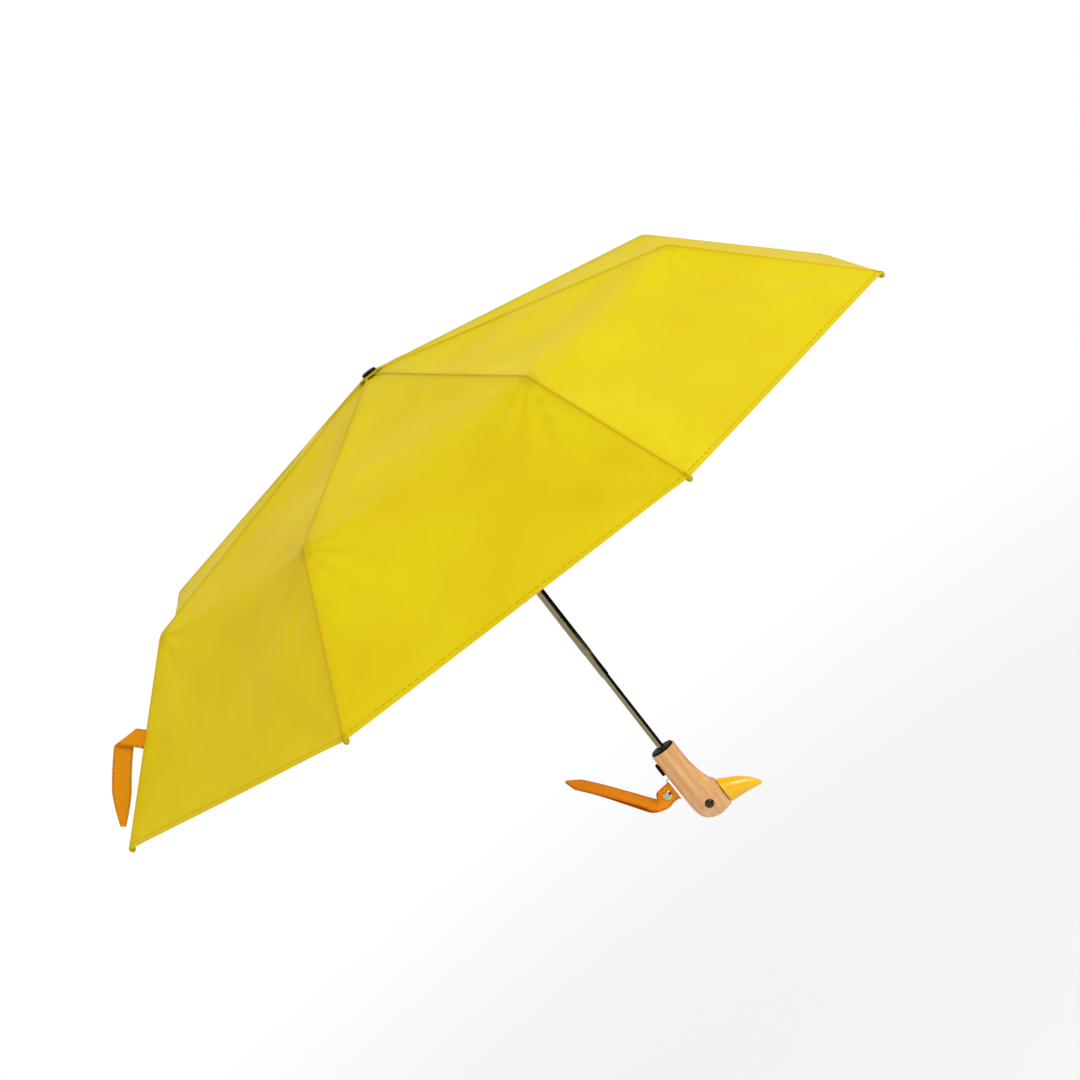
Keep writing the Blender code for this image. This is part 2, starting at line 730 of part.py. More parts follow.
def build_eyes(grip):
    """Two black domes set into the sides of the head."""
    dome = turned("eye", [
        (0, -3 * MM), (EYE_R, -3 * MM), (EYE_R, -0.4 * MM), (EYE_R - 1.0 * MM, 0.6 * MM),
        (EYE_R - 2.6 * MM, 1.2 * MM), (0, 1.4 * MM),
    ], 20)
    hole = turned("eye_hole", [
        (0, -3.4 * MM), (EYE_R + GAP, -3.4 * MM), (EYE_R + GAP, 6 * MM), (0, 6 * MM),
    ], 20)
    x, down = EYE_AT
    for name, side in (("eye_left", 1), ("eye_right", -1)):
        at = (x, side * EYE_OUT, NECK_Z - down)
        turn = (-side * math.pi / 2, 0, 0)
        place(name, dome, black_plastic(), location=at, rotation=turn)
        cut(grip, cutter(name + "_recess", hole, location=at, rotation=turn))


def build_button(grip):
    """The push button in its pocket at the back of the neck, with its return spring."""
    z = NECK_Z - BUTTON_DOWN
    face, back = -NECK_R - BUTTON_PROUD, -NECK_R + BUTTON_SUNK
    floor = -NECK_R + POCKET_DEPTH
    button = prism_mesh("push_button", capsule(BUTTON_H, BUTTON_W), 0, back - face, "Z")
    obj = place(
        "push_button", button, black_plastic(), location=(face, 0, z), rotation=(math.pi / 2, 0, math.pi / 2)
    )
    bevel = obj.modifiers.new("round_face", "BEVEL")
    bevel.width = 0.9 * MM
    bevel.segments = 2
    bevel.limit_method = "ANGLE"
    bevel.angle_limit = math.radians(60)
    clearance = 0.7 * MM
    pocket = prism_mesh(
        "pocket", capsule(BUTTON_H + clearance, BUTTON_W + clearance), 0, floor + 2 * NECK_R, "Z"
    )
    cut(grip, cutter(
        "button_pocket", pocket, location=(-2 * NECK_R, 0, z), rotation=(math.pi / 2, 0, math.pi / 2)
    ))
    turns, per_turn, coil_r = 3, 10, 2.0 * MM
    start, end = back + 0.75 * MM, floor - 0.75 * MM
    count = turns * per_turn
    points = [
        (
            start + (end - start) * i / count,
            coil_r * math.cos(math.tau * i / per_turn),
            z + coil_r * math.sin(math.tau * i / per_turn),
        )
        for i in range(count + 1)
    ]
    spring = wire("button_spring", points, 0.3 * MM, 0)
    spring.data.materials.append(steel())


def build_strap(grip):
    """The wire bail that swivels in the back of the neck, the wrist strap and its snap."""
    z = NECK_Z - BAIL_DOWN

    def behind(out, y, down):
        """A point out from the back of the neck and down from the bail's pivot, in millimetres."""
        return Vector((-NECK_R - out * MM, y * MM, z - down * MM))

    leg_in = -6.7
    route = [
        behind(out, 0, down) for out, down in (
            (leg_in, 0), (-1.7, 0), (2.4, 0), (3.5, 0.5), (4.0, 1.8), (3.8, 12), (3.6, 22.6),
            (3.2, 23.6), (2.4, 23.9), (1.6, 23.5),
        )
    ]
    bail = wire("strap_bail", route, WIRE_R, 2)
    bail.data.materials.append(steel())
    hole = turned("bail_hole", [
        (0, 0), (WIRE_R + 0.45 * MM, 0), (WIRE_R + 0.45 * MM, 12 * MM), (0, 12 * MM),
    ], 16)
    cut(grip, cutter(
        "bail_bore", hole, location=behind(leg_in - 1.0, 0, 0), rotation=(0, -math.pi / 2, 0)
    ))
    strap = band(
        "wrist_strap",
        [behind(*at) for at in (
            (5.6, 0, 12.6), (12.9, 0, 12.9), (20.4, 0.2, 14.6), (27.9, 2.4, 14.2), (34.9, 8, 8.0),
            (46.9, 16.5, -6.5), (65.4, 29, -28.5), (88.4, 42.5, -53.0),
        )],
        [(0, 0, 1), (0, 0.01, 1), (0.3, 0.55, 0.8), (0.35, 0.95, 0.25), (0.4, 0.9, 0.1),
         (0.4, 0.9, 0.1), (0.4, 0.9, 0.1), (0.4, 0.9, 0.1)],
        STRAP_W, STRAP,
    )
    place("wrist_strap", strap, webbing())
    at = behind(11.6, 0, 12.9)
    face = STRAP / 2 + GAP + 0.25 * MM
    cap = turned("snap_cap", [
        (0, 0), (SNAP_R, 0), (SNAP_R, 0.6 * MM), (SNAP_R - 1.2 * MM, 1.4 * MM), (0, 1.8 * MM),
    ], 24)
    back = turned("snap_back", [
        (0, 0), (SNAP_R - 0.8 * MM, 0), (SNAP_R - 0.8 * MM, 1.0 * MM), (0, 1.0 * MM),
    ], 20)
    place("strap_snap_cap", cap, steel(), location=at - Vector((0, face, 0)), rotation=(math.pi / 2, 0, 0))
    place("strap_snap_back", back, steel(), location=at + Vector((0, face, 0)), rotation=(-math.pi / 2, 0, 0))


def build_grip():
    """The wooden grip with its beak, eyes, collar, button and strap."""
    wood = material("birch", (0.66, 0.43, 0.24), 0.5)
    grip = place("handle_grip", grip_mesh(), wood)
    place("beak", beak_mesh(), material("beak_paint", (0.87, 0.5, 0.0), 0.2))

    collar_bore = LOWER_TUBE_R + GAP
    collar = turned("handle_collar", [
        (collar_bore, -SLEEVE), (SLEEVE_R, -SLEEVE), (SLEEVE_R, -COLLAR_H), (COLLAR_R, -COLLAR_H),
        (COLLAR_R, -0.4 * MM), (COLLAR_R - 0.4 * MM, 0), (collar_bore, 0),
    ])
    place("handle_collar", collar, black_plastic(), location=(0, 0, NECK_Z))
    bore = turned("bore", [
        (0, -TUBE_IN_GRIP - 1 * MM), (LOWER_TUBE_R + GAP, -TUBE_IN_GRIP - 1 * MM),
        (LOWER_TUBE_R + GAP, -SLEEVE - GAP), (SLEEVE_R + GAP, -SLEEVE - GAP), (SLEEVE_R + GAP, 5 * MM),
        (0, 5 * MM),
    ])
    cut(grip, cutter("grip_bore", bore, location=(0, 0, NECK_Z)))
    build_eyes(grip)
    build_button(grip)
    build_strap(grip)


def main():
    clear_scene()
    crown = empty("crown_frame", location=(0, 0, APEX_Z))
    build_canopy(crown)
    build_shaft(crown)
    build_grip()


main()
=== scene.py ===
"""Looks for a compact three-fold umbrella with a carved duck-head grip, shown open.

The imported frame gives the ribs, tubes and fittings. This script adds the cloth canopy, the wrist strap, the tie band,
the two coil springs and the finishes, and sets up a plain studio. Lengths are in metres, +Z runs up the
shaft, and the beak points to +X.
"""

import logging
import math
from dataclasses import dataclass, field
from enum import Enum

import bmesh
import bpy
import numpy as np
from mathutils import Matrix, Vector


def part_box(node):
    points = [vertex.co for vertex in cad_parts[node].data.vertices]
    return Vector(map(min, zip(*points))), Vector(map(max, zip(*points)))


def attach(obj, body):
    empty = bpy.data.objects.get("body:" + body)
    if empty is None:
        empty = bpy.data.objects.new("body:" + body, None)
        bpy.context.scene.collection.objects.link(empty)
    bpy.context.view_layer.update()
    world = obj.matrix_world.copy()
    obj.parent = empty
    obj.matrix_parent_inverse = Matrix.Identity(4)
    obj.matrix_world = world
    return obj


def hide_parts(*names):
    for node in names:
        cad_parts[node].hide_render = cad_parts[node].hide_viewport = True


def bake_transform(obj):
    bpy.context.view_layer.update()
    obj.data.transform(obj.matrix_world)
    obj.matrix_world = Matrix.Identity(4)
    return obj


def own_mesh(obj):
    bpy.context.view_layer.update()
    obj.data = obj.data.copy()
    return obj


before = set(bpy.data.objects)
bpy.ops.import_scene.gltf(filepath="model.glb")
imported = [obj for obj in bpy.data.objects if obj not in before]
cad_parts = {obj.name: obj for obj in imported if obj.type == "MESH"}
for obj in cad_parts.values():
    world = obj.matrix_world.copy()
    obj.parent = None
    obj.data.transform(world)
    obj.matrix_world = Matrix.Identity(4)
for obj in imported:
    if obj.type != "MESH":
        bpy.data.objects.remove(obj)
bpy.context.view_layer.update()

LOG = logging.getLogger("umbrella")
MM = 0.001


# ---------------------------------------------------------------- finishes


def linear(hex_colour: str) -> tuple[float, float, float, float]:
    """Turn an sRGB hex colour into a linear one.

    Args:
        hex_colour: Six hex digits, with or without a leading hash.

    Returns:
        The linear red, green, blue and an alpha of 1.
    """
    digits = hex_colour.lstrip("#")
    channels = [int(digits[i : i + 2], 16) / 255 for i in (0, 2, 4)]
    return (*(c / 12.92 if c <= 0.04045 else ((c + 0.055) / 1.055) ** 2.4 for c in channels), 1.0)


def add_node(
    tree: bpy.types.NodeTree,
    kind: str,
    values: dict | None = None,
    links: dict | None = None,
    **settings: object,
) -> bpy.types.Node:
    """Add one node with its settings, its inputs' own values and its incoming links.

    Args:
        tree: The tree that takes the node.
        kind: Blender's name for the node's type.
        values: Input name or number to the value of that socket.
        links: Input name or number to the output socket that feeds it.
        **settings: Attributes of the node itself.

    Returns:
        The new node.
    """
    made = tree.nodes.new(kind)
    for key, value in settings.items():
        setattr(made, key, value)
    for key, value in (values or {}).items():
        made.inputs[key].default_value = value
    for key, socket in (links or {}).items():
        tree.links.new(socket, made.inputs[key])
    return made


@dataclass(frozen=True)
class Finish:
    """A finish with one Principled shader; each kind of finish adds its own pattern."""

    name: str
    colour: str
    roughness: float = 0.5
    metallic: float = 0.0
    sockets: tuple[tuple[str, float], ...] = ()

    def material(self) -> bpy.types.Material:
        """Return this finish as a material, made the first time it is asked for."""
        found = bpy.data.materials.get(self.name)
        if found:
            return found
        made = bpy.data.materials.new(self.name)
        made.use_nodes = True
        tree = made.node_tree
        shader = tree.nodes["Principled BSDF"]
        shader.inputs["Base Color"].default_value = linear(self.colour)
        shader.inputs["Roughness"].default_value = self.roughness
        shader.inputs["Metallic"].default_value = self.metallic
        for socket, value in self.sockets:
            shader.inputs[socket].default_value = value
        made.diffuse_color = linear(self.colour)
        self.pattern(tree, shader)
        return made

    def pattern(self, tree: bpy.types.NodeTree, shader: bpy.types.Node) -> None:
        """Add what varies over the surface; a plain finish adds nothing."""


@dataclass(frozen=True)
class CanopyCloth(Finish):
    """Pongee: a tight plain-weave polyester with a water-repellent finish.

    The threads lie 0.25 mm apart, too fine to show, so the slubs and the weave are drawn about five times as coarse.
    The cloth is thin, so light from above glows through it.
    """

    seam: str = "#D0A200"
    shade: str = "#C4B004"
    stitch: str = "#AE9400"
    thread: float = 1.3 * MM
    slub: float = 9 * MM
    glow: float = 0.34
    glow_colour: str = "#E09E00"
    hem: float = 7 * MM
    hem_blur: float = 0.4 * MM
    stitch_pitch: float = 3.6 * MM
    stitch_inset: float = 1.4 * MM

    def pattern(self, tree: bpy.types.NodeTree, shader: bpy.types.Node) -> None:
        """Weave along and across the gore, seam and hem with their stitches, faint clouding, and the glow."""
        gore = add_node(tree, "ShaderNodeUVMap", uv_map="weave")
        fine = 1 / self.thread
        warp = add_node(tree, "ShaderNodeMapping", {"Scale": (fine, fine / 14, 1)}, {"Vector": gore.outputs[0]})
        weft = add_node(tree, "ShaderNodeMapping", {"Scale": (fine / 14, fine, 1)}, {"Vector": gore.outputs[0]})
        warps = add_node(tree, "ShaderNodeTexNoise", {"Scale": 1.0, "Detail": 2.0}, {"Vector": warp.outputs[0]})
        wefts = add_node(tree, "ShaderNodeTexNoise", {"Scale": 1.0, "Detail": 2.0}, {"Vector": weft.outputs[0]})
        weave = add_node(tree, "ShaderNodeMath", links={0: warps.outputs[0], 1: wefts.outputs[0]}, operation="ADD")
        where = add_node(tree, "ShaderNodeTexCoord")
        cloud = add_node(
            tree, "ShaderNodeTexNoise", {"Scale": 1 / (14 * self.slub), "Detail": 3.0, "Roughness": 0.55},
            {"Vector": where.outputs["Object"]},
        )
        tint = add_node(
            tree, "ShaderNodeMapRange", {"From Min": 0.35, "From Max": 0.7, "To Min": 0.0, "To Max": 0.55},
            {"Value": cloud.outputs[0]},
        )
        ground = add_node(
            tree, "ShaderNodeMix", {6: linear(self.colour), 7: linear(self.shade)}, {0: tint.outputs[0]},
            data_type="RGBA",
        )
        thread_tint = add_node(
            tree, "ShaderNodeMapRange", {"From Min": 0.75, "From Max": 1.3, "To Min": 0.0, "To Max": 0.22},
            {"Value": weave.outputs[0]},
        )
        woven = add_node(
            tree, "ShaderNodeMix", {7: linear(self.shade)}, {0: thread_tint.outputs[0], 6: ground.outputs[2]},
            data_type="RGBA",
        )
        rib = add_node(tree, "ShaderNodeAttribute", attribute_name="rib_gap")
        near_rib = add_node(
            tree, "ShaderNodeMapRange", {"From Min": 0.6 * MM, "From Max": 2.6 * MM, "To Min": 0.7, "To Max": 0.0},
            {"Value": rib.outputs["Fac"]},
        )
        seamed = add_node(
            tree, "ShaderNodeMix", {7: linear(self.seam)}, {0: near_rib.outputs[0], 6: woven.outputs[2]},
            data_type="RGBA",
        )
        edge = add_node(tree, "ShaderNodeAttribute", attribute_name="hem_gap")
        doubled = add_node(
            tree, "ShaderNodeMapRange",
            {"From Min": self.hem - self.hem_blur, "From Max": self.hem + self.hem_blur, "To Min": 0.22, "To Max": 0.0},
            {"Value": edge.outputs["Fac"]},
        )
        hemmed = add_node(
            tree, "ShaderNodeMix", {7: linear(self.shade)}, {0: doubled.outputs[0], 6: seamed.outputs[2]},
            data_type="RGBA",
        )
        along = add_node(tree, "ShaderNodeSeparateXYZ", links={0: gore.outputs[0]})
        beat = add_node(
            tree, "ShaderNodeMath", {1: self.stitch_pitch}, {0: along.outputs[0]}, operation="PINGPONG"
        )
        lengths = add_node(tree, "ShaderNodeMath", {1: 0.35 * self.stitch_pitch}, {0: beat.outputs[0]},
                           operation="GREATER_THAN")
        row = add_node(tree, "ShaderNodeMath", {1: self.hem - self.stitch_inset, 2: 0.5 * MM}, {0: edge.outputs["Fac"]},
                       operation="COMPARE")
        stitches = add_node(tree, "ShaderNodeMath", links={0: lengths.outputs[0], 1: row.outputs[0]},
                            operation="MULTIPLY")
        sewn = add_node(
            tree, "ShaderNodeMix", {7: linear(self.stitch)}, {0: stitches.outputs[0], 6: hemmed.outputs[2]},
            data_type="RGBA",
        )
        tree.links.new(sewn.outputs[2], shader.inputs["Base Color"])
        rough = add_node(
            tree, "ShaderNodeMapRange", {"From Min": 0.7, "From Max": 1.3, "To Min": 0.44, "To Max": 0.62},
            {"Value": weave.outputs[0]},
        )
        tree.links.new(rough.outputs[0], shader.inputs["Roughness"])
        relief = add_node(
            tree, "ShaderNodeMath", {1: 0.25, 2: 0.0}, {0: weave.outputs[0]}, operation="MULTIPLY_ADD"
        )
        pressed = add_node(tree, "ShaderNodeMath", links={0: relief.outputs[0], 1: stitches.outputs[0]},
                           operation="SUBTRACT")
        bump = add_node(tree, "ShaderNodeBump", {"Strength": 0.25, "Distance": 0.35 * MM},
                        {"Height": pressed.outputs[0]})
        tree.links.new(bump.outputs[0], shader.inputs["Normal"])
        through = add_node(
            tree, "ShaderNodeBsdfTranslucent", {"Color": linear(self.glow_colour)}, {"Normal": bump.outputs[0]}
        )
        mixed = add_node(
            tree, "ShaderNodeMixShader", {0: self.glow}, {1: shader.outputs[0], 2: through.outputs[0]}
        )
        tree.links.new(mixed.outputs[0], tree.nodes["Material Output"].inputs["Surface"])


@dataclass(frozen=True)
class WovenTape(Finish):
    """Flat polyester tape: close cross ribs every 0.9 mm, drawn at 1.5 mm so that they show, with painted shade in the
    grooves between them, and darker selvedges.
    """

    # The selvedges' colour, and the colour of the painted shade in the rib grooves.
    dark: str = "#C8680E"
    stitch: str = "#B85A08"
    rib: float = 1.5 * MM
    margin: float = 0.12

    def pattern(self, tree: bpy.types.NodeTree, shader: bpy.types.Node) -> None:
        """Cross ribs with painted shade in their grooves, from the tape's own map: U runs 0 to 1 across it, V runs in
        metres along it.
        """
        tape = add_node(tree, "ShaderNodeUVMap", uv_map="tape")
        parts = add_node(tree, "ShaderNodeSeparateXYZ", links={0: tape.outputs[0]})
        turns = add_node(tree, "ShaderNodeMath", {1: math.tau / self.rib}, {0: parts.outputs[1]}, operation="MULTIPLY")
        ribs = add_node(tree, "ShaderNodeMath", links={0: turns.outputs[0]}, operation="SINE")
        fuzz = add_node(tree, "ShaderNodeMapping", {"Scale": (26, 1 / (0.8 * MM), 1)}, {"Vector": tape.outputs[0]})
        yarn = add_node(tree, "ShaderNodeTexNoise", {"Scale": 1.0, "Detail": 3.0}, {"Vector": fuzz.outputs[0]})
        # Painted shade: darker in the grooves between the cross ribs, where the relief is low, varied by the yarn
        # noise.
        shade = add_node(
            tree, "ShaderNodeMapRange", {"From Min": -1.0, "From Max": 1.0, "To Min": 0.45, "To Max": 0.0},
            {"Value": ribs.outputs[0]},
        )
        wear_and_groove_shade = add_node(tree, "ShaderNodeMath", links={0: shade.outputs[0], 1: yarn.outputs[0]}, operation="MULTIPLY")
        middle = add_node(tree, "ShaderNodeMath", {1: 0.5}, {0: parts.outputs[0]}, operation="SUBTRACT")
        off = add_node(tree, "ShaderNodeMath", links={0: middle.outputs[0]}, operation="ABSOLUTE")
        edge = add_node(
            tree, "ShaderNodeMapRange",
            {"From Min": 0.5 - self.margin, "From Max": 0.5, "To Min": 0.0, "To Max": 0.65},
            {"Value": off.outputs[0]},
        )
        both = add_node(tree, "ShaderNodeMath", links={0: wear_and_groove_shade.outputs[0], 1: edge.outputs[0]}, operation="ADD",
                        use_clamp=True)
        base = add_node(
            tree, "ShaderNodeMix", {6: linear(self.colour), 7: linear(self.dark)}, {0: both.outputs[0]},
            data_type="RGBA",
        )
        row = add_node(tree, "ShaderNodeMath", {1: 0.5 - 0.75 * self.margin, 2: 0.022}, {0: off.outputs[0]},
                       operation="COMPARE")
        beat = add_node(tree, "ShaderNodeMath", {1: 2.6 * MM}, {0: parts.outputs[1]}, operation="PINGPONG")
        lengths = add_node(tree, "ShaderNodeMath", {1: 0.9 * MM}, {0: beat.outputs[0]}, operation="GREATER_THAN")
        stitches = add_node(tree, "ShaderNodeMath", links={0: row.outputs[0], 1: lengths.outputs[0]},
                            operation="MULTIPLY")
        sewn = add_node(
            tree, "ShaderNodeMix", {7: linear(self.stitch)}, {0: stitches.outputs[0], 6: base.outputs[2]},
            data_type="RGBA",
        )
        tree.links.new(sewn.outputs[2], shader.inputs["Base Color"])
        bump = add_node(tree, "ShaderNodeBump", {"Strength": 0.5, "Distance": 0.25 * MM}, {"Height": ribs.outputs[0]})
        tree.links.new(bump.outputs[0], shader.inputs["Normal"])


@dataclass(frozen=True)
class DrawnMetal(Finish):
    """Metal drawn or rolled along its length: fine streaks every 0.4 mm, drawn at 0.8 mm, and small dull spots."""

    dull: str = "#6E685C"
    streak: float = 0.8 * MM
    axis: int = 2

    def pattern(self, tree: bpy.types.NodeTree, shader: bpy.types.Node) -> None:
        """Streaks along one axis, and spots where the plating has dulled."""
        where = add_node(tree, "ShaderNodeTexCoord")
        across = [1 / self.streak] * 3
        across[self.axis] = 1 / (60 * self.streak)
        lines = add_node(tree, "ShaderNodeMapping", {"Scale": across}, {"Vector": where.outputs["Object"]})
        streaks = add_node(tree, "ShaderNodeTexNoise", {"Scale": 1.0, "Detail": 2.0}, {"Vector": lines.outputs[0]})
        spots = add_node(tree, "ShaderNodeTexNoise", {"Scale": 1 / (5 * MM), "Detail": 4.0},
                         {"Vector": where.outputs["Object"]})
        wear_and_groove_shade = add_node(
            tree, "ShaderNodeMapRange", {"From Min": 0.52, "From Max": 0.75, "To Min": 0.0, "To Max": 0.6},
            {"Value": spots.outputs[0]},
        )
        base = add_node(
            tree, "ShaderNodeMix", {6: linear(self.colour), 7: linear(self.dull)}, {0: wear_and_groove_shade.outputs[0]},
            data_type="RGBA",
        )
        tree.links.new(base.outputs[2], shader.inputs["Base Color"])
        rough = add_node(
            tree, "ShaderNodeMapRange",
            {"From Min": 0.3, "From Max": 0.7, "To Min": self.roughness * 0.7, "To Max": self.roughness * 1.4},
            {"Value": streaks.outputs[0]},
        )
        tree.links.new(rough.outputs[0], shader.inputs["Roughness"])


@dataclass(frozen=True)
class MouldedNylon(Finish):
    """Moulded black polyamide: a satin skin with a grain of about 0.3 mm, drawn at 0.6 mm, and paler rubbed patches."""

    rubbed: str = "#26262A"
    grain: float = 0.6 * MM

    def pattern(self, tree: bpy.types.NodeTree, shader: bpy.types.Node) -> None:
        """Fine grain in the relief, and rubbed patches in colour and gloss."""
        where = add_node(tree, "ShaderNodeTexCoord")
        grain = add_node(tree, "ShaderNodeTexNoise", {"Scale": 1 / self.grain, "Detail": 2.0},
                         {"Vector": where.outputs["Object"]})
        patches = add_node(tree, "ShaderNodeTexNoise", {"Scale": 1 / (8 * MM), "Detail": 3.0},
                           {"Vector": where.outputs["Object"]})
        base = add_node(
            tree, "ShaderNodeMix", {6: linear(self.colour), 7: linear(self.rubbed)}, {0: patches.outputs[0]},
            data_type="RGBA",
        )
        tree.links.new(base.outputs[2], shader.inputs["Base Color"])
        rough = add_node(
            tree, "ShaderNodeMapRange",
            {"From Min": 0.3, "From Max": 0.7, "To Min": self.roughness * 0.8, "To Max": self.roughness * 1.25},
            {"Value": patches.outputs[0]},
        )
        tree.links.new(rough.outputs[0], shader.inputs["Roughness"])
        bump = add_node(tree, "ShaderNodeBump", {"Strength": 0.2, "Distance": 0.1 * MM}, {"Height": grain.outputs[0]})
        tree.links.new(bump.outputs[0], shader.inputs["Normal"])


@dataclass(frozen=True)
class TurnedBirch(Finish):
    """Birch, carved, sanded and given a clear satin varnish: pale, with close grain along the neck and short flecks."""

    late: str = "#C68A55"
    fleck: str = "#B0703F"
    ring: float = 4.2 * MM
    fleck_width: float = 0.7 * MM

    def pattern(self, tree: bpy.types.NodeTree, shader: bpy.types.Node) -> None:
        """Growth rings seen along the grain, fine fibres, and flecks."""
        where = add_node(tree, "ShaderNodeTexCoord")
        lean = add_node(
            tree, "ShaderNodeMapping", {"Rotation": (0.06, 0.09, 0.4), "Scale": (1 / self.ring, 1 / self.ring, 6.0)},
            {"Vector": where.outputs["Object"]},
        )
        wander = add_node(tree, "ShaderNodeTexNoise", {"Scale": 0.55, "Detail": 3.0}, {"Vector": lean.outputs[0]})
        rings = add_node(tree, "ShaderNodeMath", {1: 15.0}, {0: wander.outputs[0]}, operation="MULTIPLY")
        wave = add_node(tree, "ShaderNodeMath", links={0: rings.outputs[0]}, operation="SINE")
        ring_share = add_node(
            tree, "ShaderNodeMapRange", {"From Min": -0.2, "From Max": 1.0, "To Min": 0.0, "To Max": 0.5},
            {"Value": wave.outputs[0]},
        )
        base = add_node(
            tree, "ShaderNodeMix", {6: linear(self.colour), 7: linear(self.late)}, {0: ring_share.outputs[0]},
            data_type="RGBA",
        )
        narrow = 1 / self.fleck_width
        stretch = add_node(
            tree, "ShaderNodeMapping", {"Scale": (narrow, narrow, narrow / 16)}, {"Vector": where.outputs["Object"]}
        )
        fibres = add_node(tree, "ShaderNodeTexNoise", {"Scale": 1.0, "Detail": 3.0}, {"Vector": stretch.outputs[0]})
        fleck_share = add_node(
            tree, "ShaderNodeMapRange", {"From Min": 0.55, "From Max": 0.8, "To Min": 0.0, "To Max": 0.7},
            {"Value": fibres.outputs[0]},
        )
        flecked = add_node(
            tree, "ShaderNodeMix", {7: linear(self.fleck)}, {0: fleck_share.outputs[0], 6: base.outputs[2]},
            data_type="RGBA",
        )
        tree.links.new(flecked.outputs[2], shader.inputs["Base Color"])
        rough = add_node(
            tree, "ShaderNodeMapRange", {"From Min": 0.3, "From Max": 0.8, "To Min": 0.34, "To Max": 0.55},
            {"Value": fibres.outputs[0]},
        )
        tree.links.new(rough.outputs[0], shader.inputs["Roughness"])
        bump = add_node(tree, "ShaderNodeBump", {"Strength": 0.12, "Distance": 0.12 * MM},
                        {"Height": fibres.outputs[0]})
        tree.links.new(bump.outputs[0], shader.inputs["Normal"])


@dataclass(frozen=True)
class GlossLacquer(Finish):
    """Sprayed gloss lacquer: an even colour with a faint orange-peel of about 2 mm under the shine."""

    deep: str = "#E0A400"
    peel: float = 2 * MM

    def pattern(self, tree: bpy.types.NodeTree, shader: bpy.types.Node) -> None:
        """Slight clouding in the colour, and the orange-peel in the relief."""
        where = add_node(tree, "ShaderNodeTexCoord")
        cloud = add_node(tree, "ShaderNodeTexNoise", {"Scale": 1 / (12 * MM), "Detail": 2.0},
                         {"Vector": where.outputs["Object"]})
        share = add_node(
            tree, "ShaderNodeMapRange", {"From Min": 0.35, "From Max": 0.75, "To Min": 0.0, "To Max": 0.5},
            {"Value": cloud.outputs[0]},
        )
        base = add_node(
            tree, "ShaderNodeMix", {6: linear(self.colour), 7: linear(self.deep)}, {0: share.outputs[0]},
            data_type="RGBA",
        )
        tree.links.new(base.outputs[2], shader.inputs["Base Color"])
        skin = add_node(tree, "ShaderNodeTexNoise", {"Scale": 1 / self.peel, "Detail": 1.0},
                        {"Vector": where.outputs["Object"]})
        bump = add_node(tree, "ShaderNodeBump", {"Strength": 0.06, "Distance": 0.2 * MM}, {"Height": skin.outputs[0]})
        tree.links.new(bump.outputs[0], shader.inputs["Normal"])


@dataclass(frozen=True)
class FadingPaper(Finish):
    """Matt white background paper that grows clear with distance, so that the floor ends in no line."""

    near: float = 2.2
    far: float = 5.5

    def pattern(self, tree: bpy.types.NodeTree, shader: bpy.types.Node) -> None:
        """Mix to clear by the distance from the middle of the floor."""
        where = add_node(tree, "ShaderNodeTexCoord")
        away = add_node(tree, "ShaderNodeVectorMath", links={0: where.outputs["Object"]}, operation="LENGTH")
        share = add_node(
            tree, "ShaderNodeMapRange", {"From Min": self.near, "From Max": self.far}, {"Value": away.outputs["Value"]},
            interpolation_type="SMOOTHSTEP",
        )
        clear = add_node(tree, "ShaderNodeBsdfTransparent")
        mixed = add_node(
            tree, "ShaderNodeMixShader", links={0: share.outputs[0], 1: shader.outputs[0], 2: clear.outputs[0]}
        )
        tree.links.new(mixed.outputs[0], tree.nodes["Material Output"].inputs["Surface"])


@dataclass(frozen=True)
class EyeBead(Finish):
    """A polished black bead with a dark amber ring around its middle, like a glass eye."""

    iris: str = "#4A2206"
    centre: tuple[float, float] = (4.5 * MM, -26.9 * MM)
    ring: tuple[float, float] = (2.0 * MM, 3.3 * MM)

    def pattern(self, tree: bpy.types.NodeTree, shader: bpy.types.Node) -> None:
        """The ring, by distance from the eye's axis."""
        where = add_node(tree, "ShaderNodeTexCoord")
        middle = add_node(
            tree, "ShaderNodeMapping", {"Location": (-self.centre[0], 0, -self.centre[1]), "Scale": (1, 0, 1)},
            {"Vector": where.outputs["Object"]},
        )
        away = add_node(tree, "ShaderNodeVectorMath", links={0: middle.outputs[0]}, operation="LENGTH")
        inside = (self.ring[0] + self.ring[1]) / 2
        ring = add_node(
            tree, "ShaderNodeMath", {1: inside, 2: (self.ring[1] - self.ring[0]) / 2}, {0: away.outputs["Value"]},
            operation="COMPARE",
        )
        streaks = add_node(tree, "ShaderNodeTexNoise", {"Scale": 1 / (1.2 * MM), "Detail": 2.0},
                           {"Vector": where.outputs["Object"]})
        share = add_node(tree, "ShaderNodeMath", links={0: ring.outputs[0], 1: streaks.outputs[0]},
                         operation="MULTIPLY")
        base = add_node(
            tree, "ShaderNodeMix", {6: linear(self.colour), 7: linear(self.iris)}, {0: share.outputs[0]},
            data_type="RGBA",
        )
        tree.links.new(base.outputs[2], shader.inputs["Base Color"])


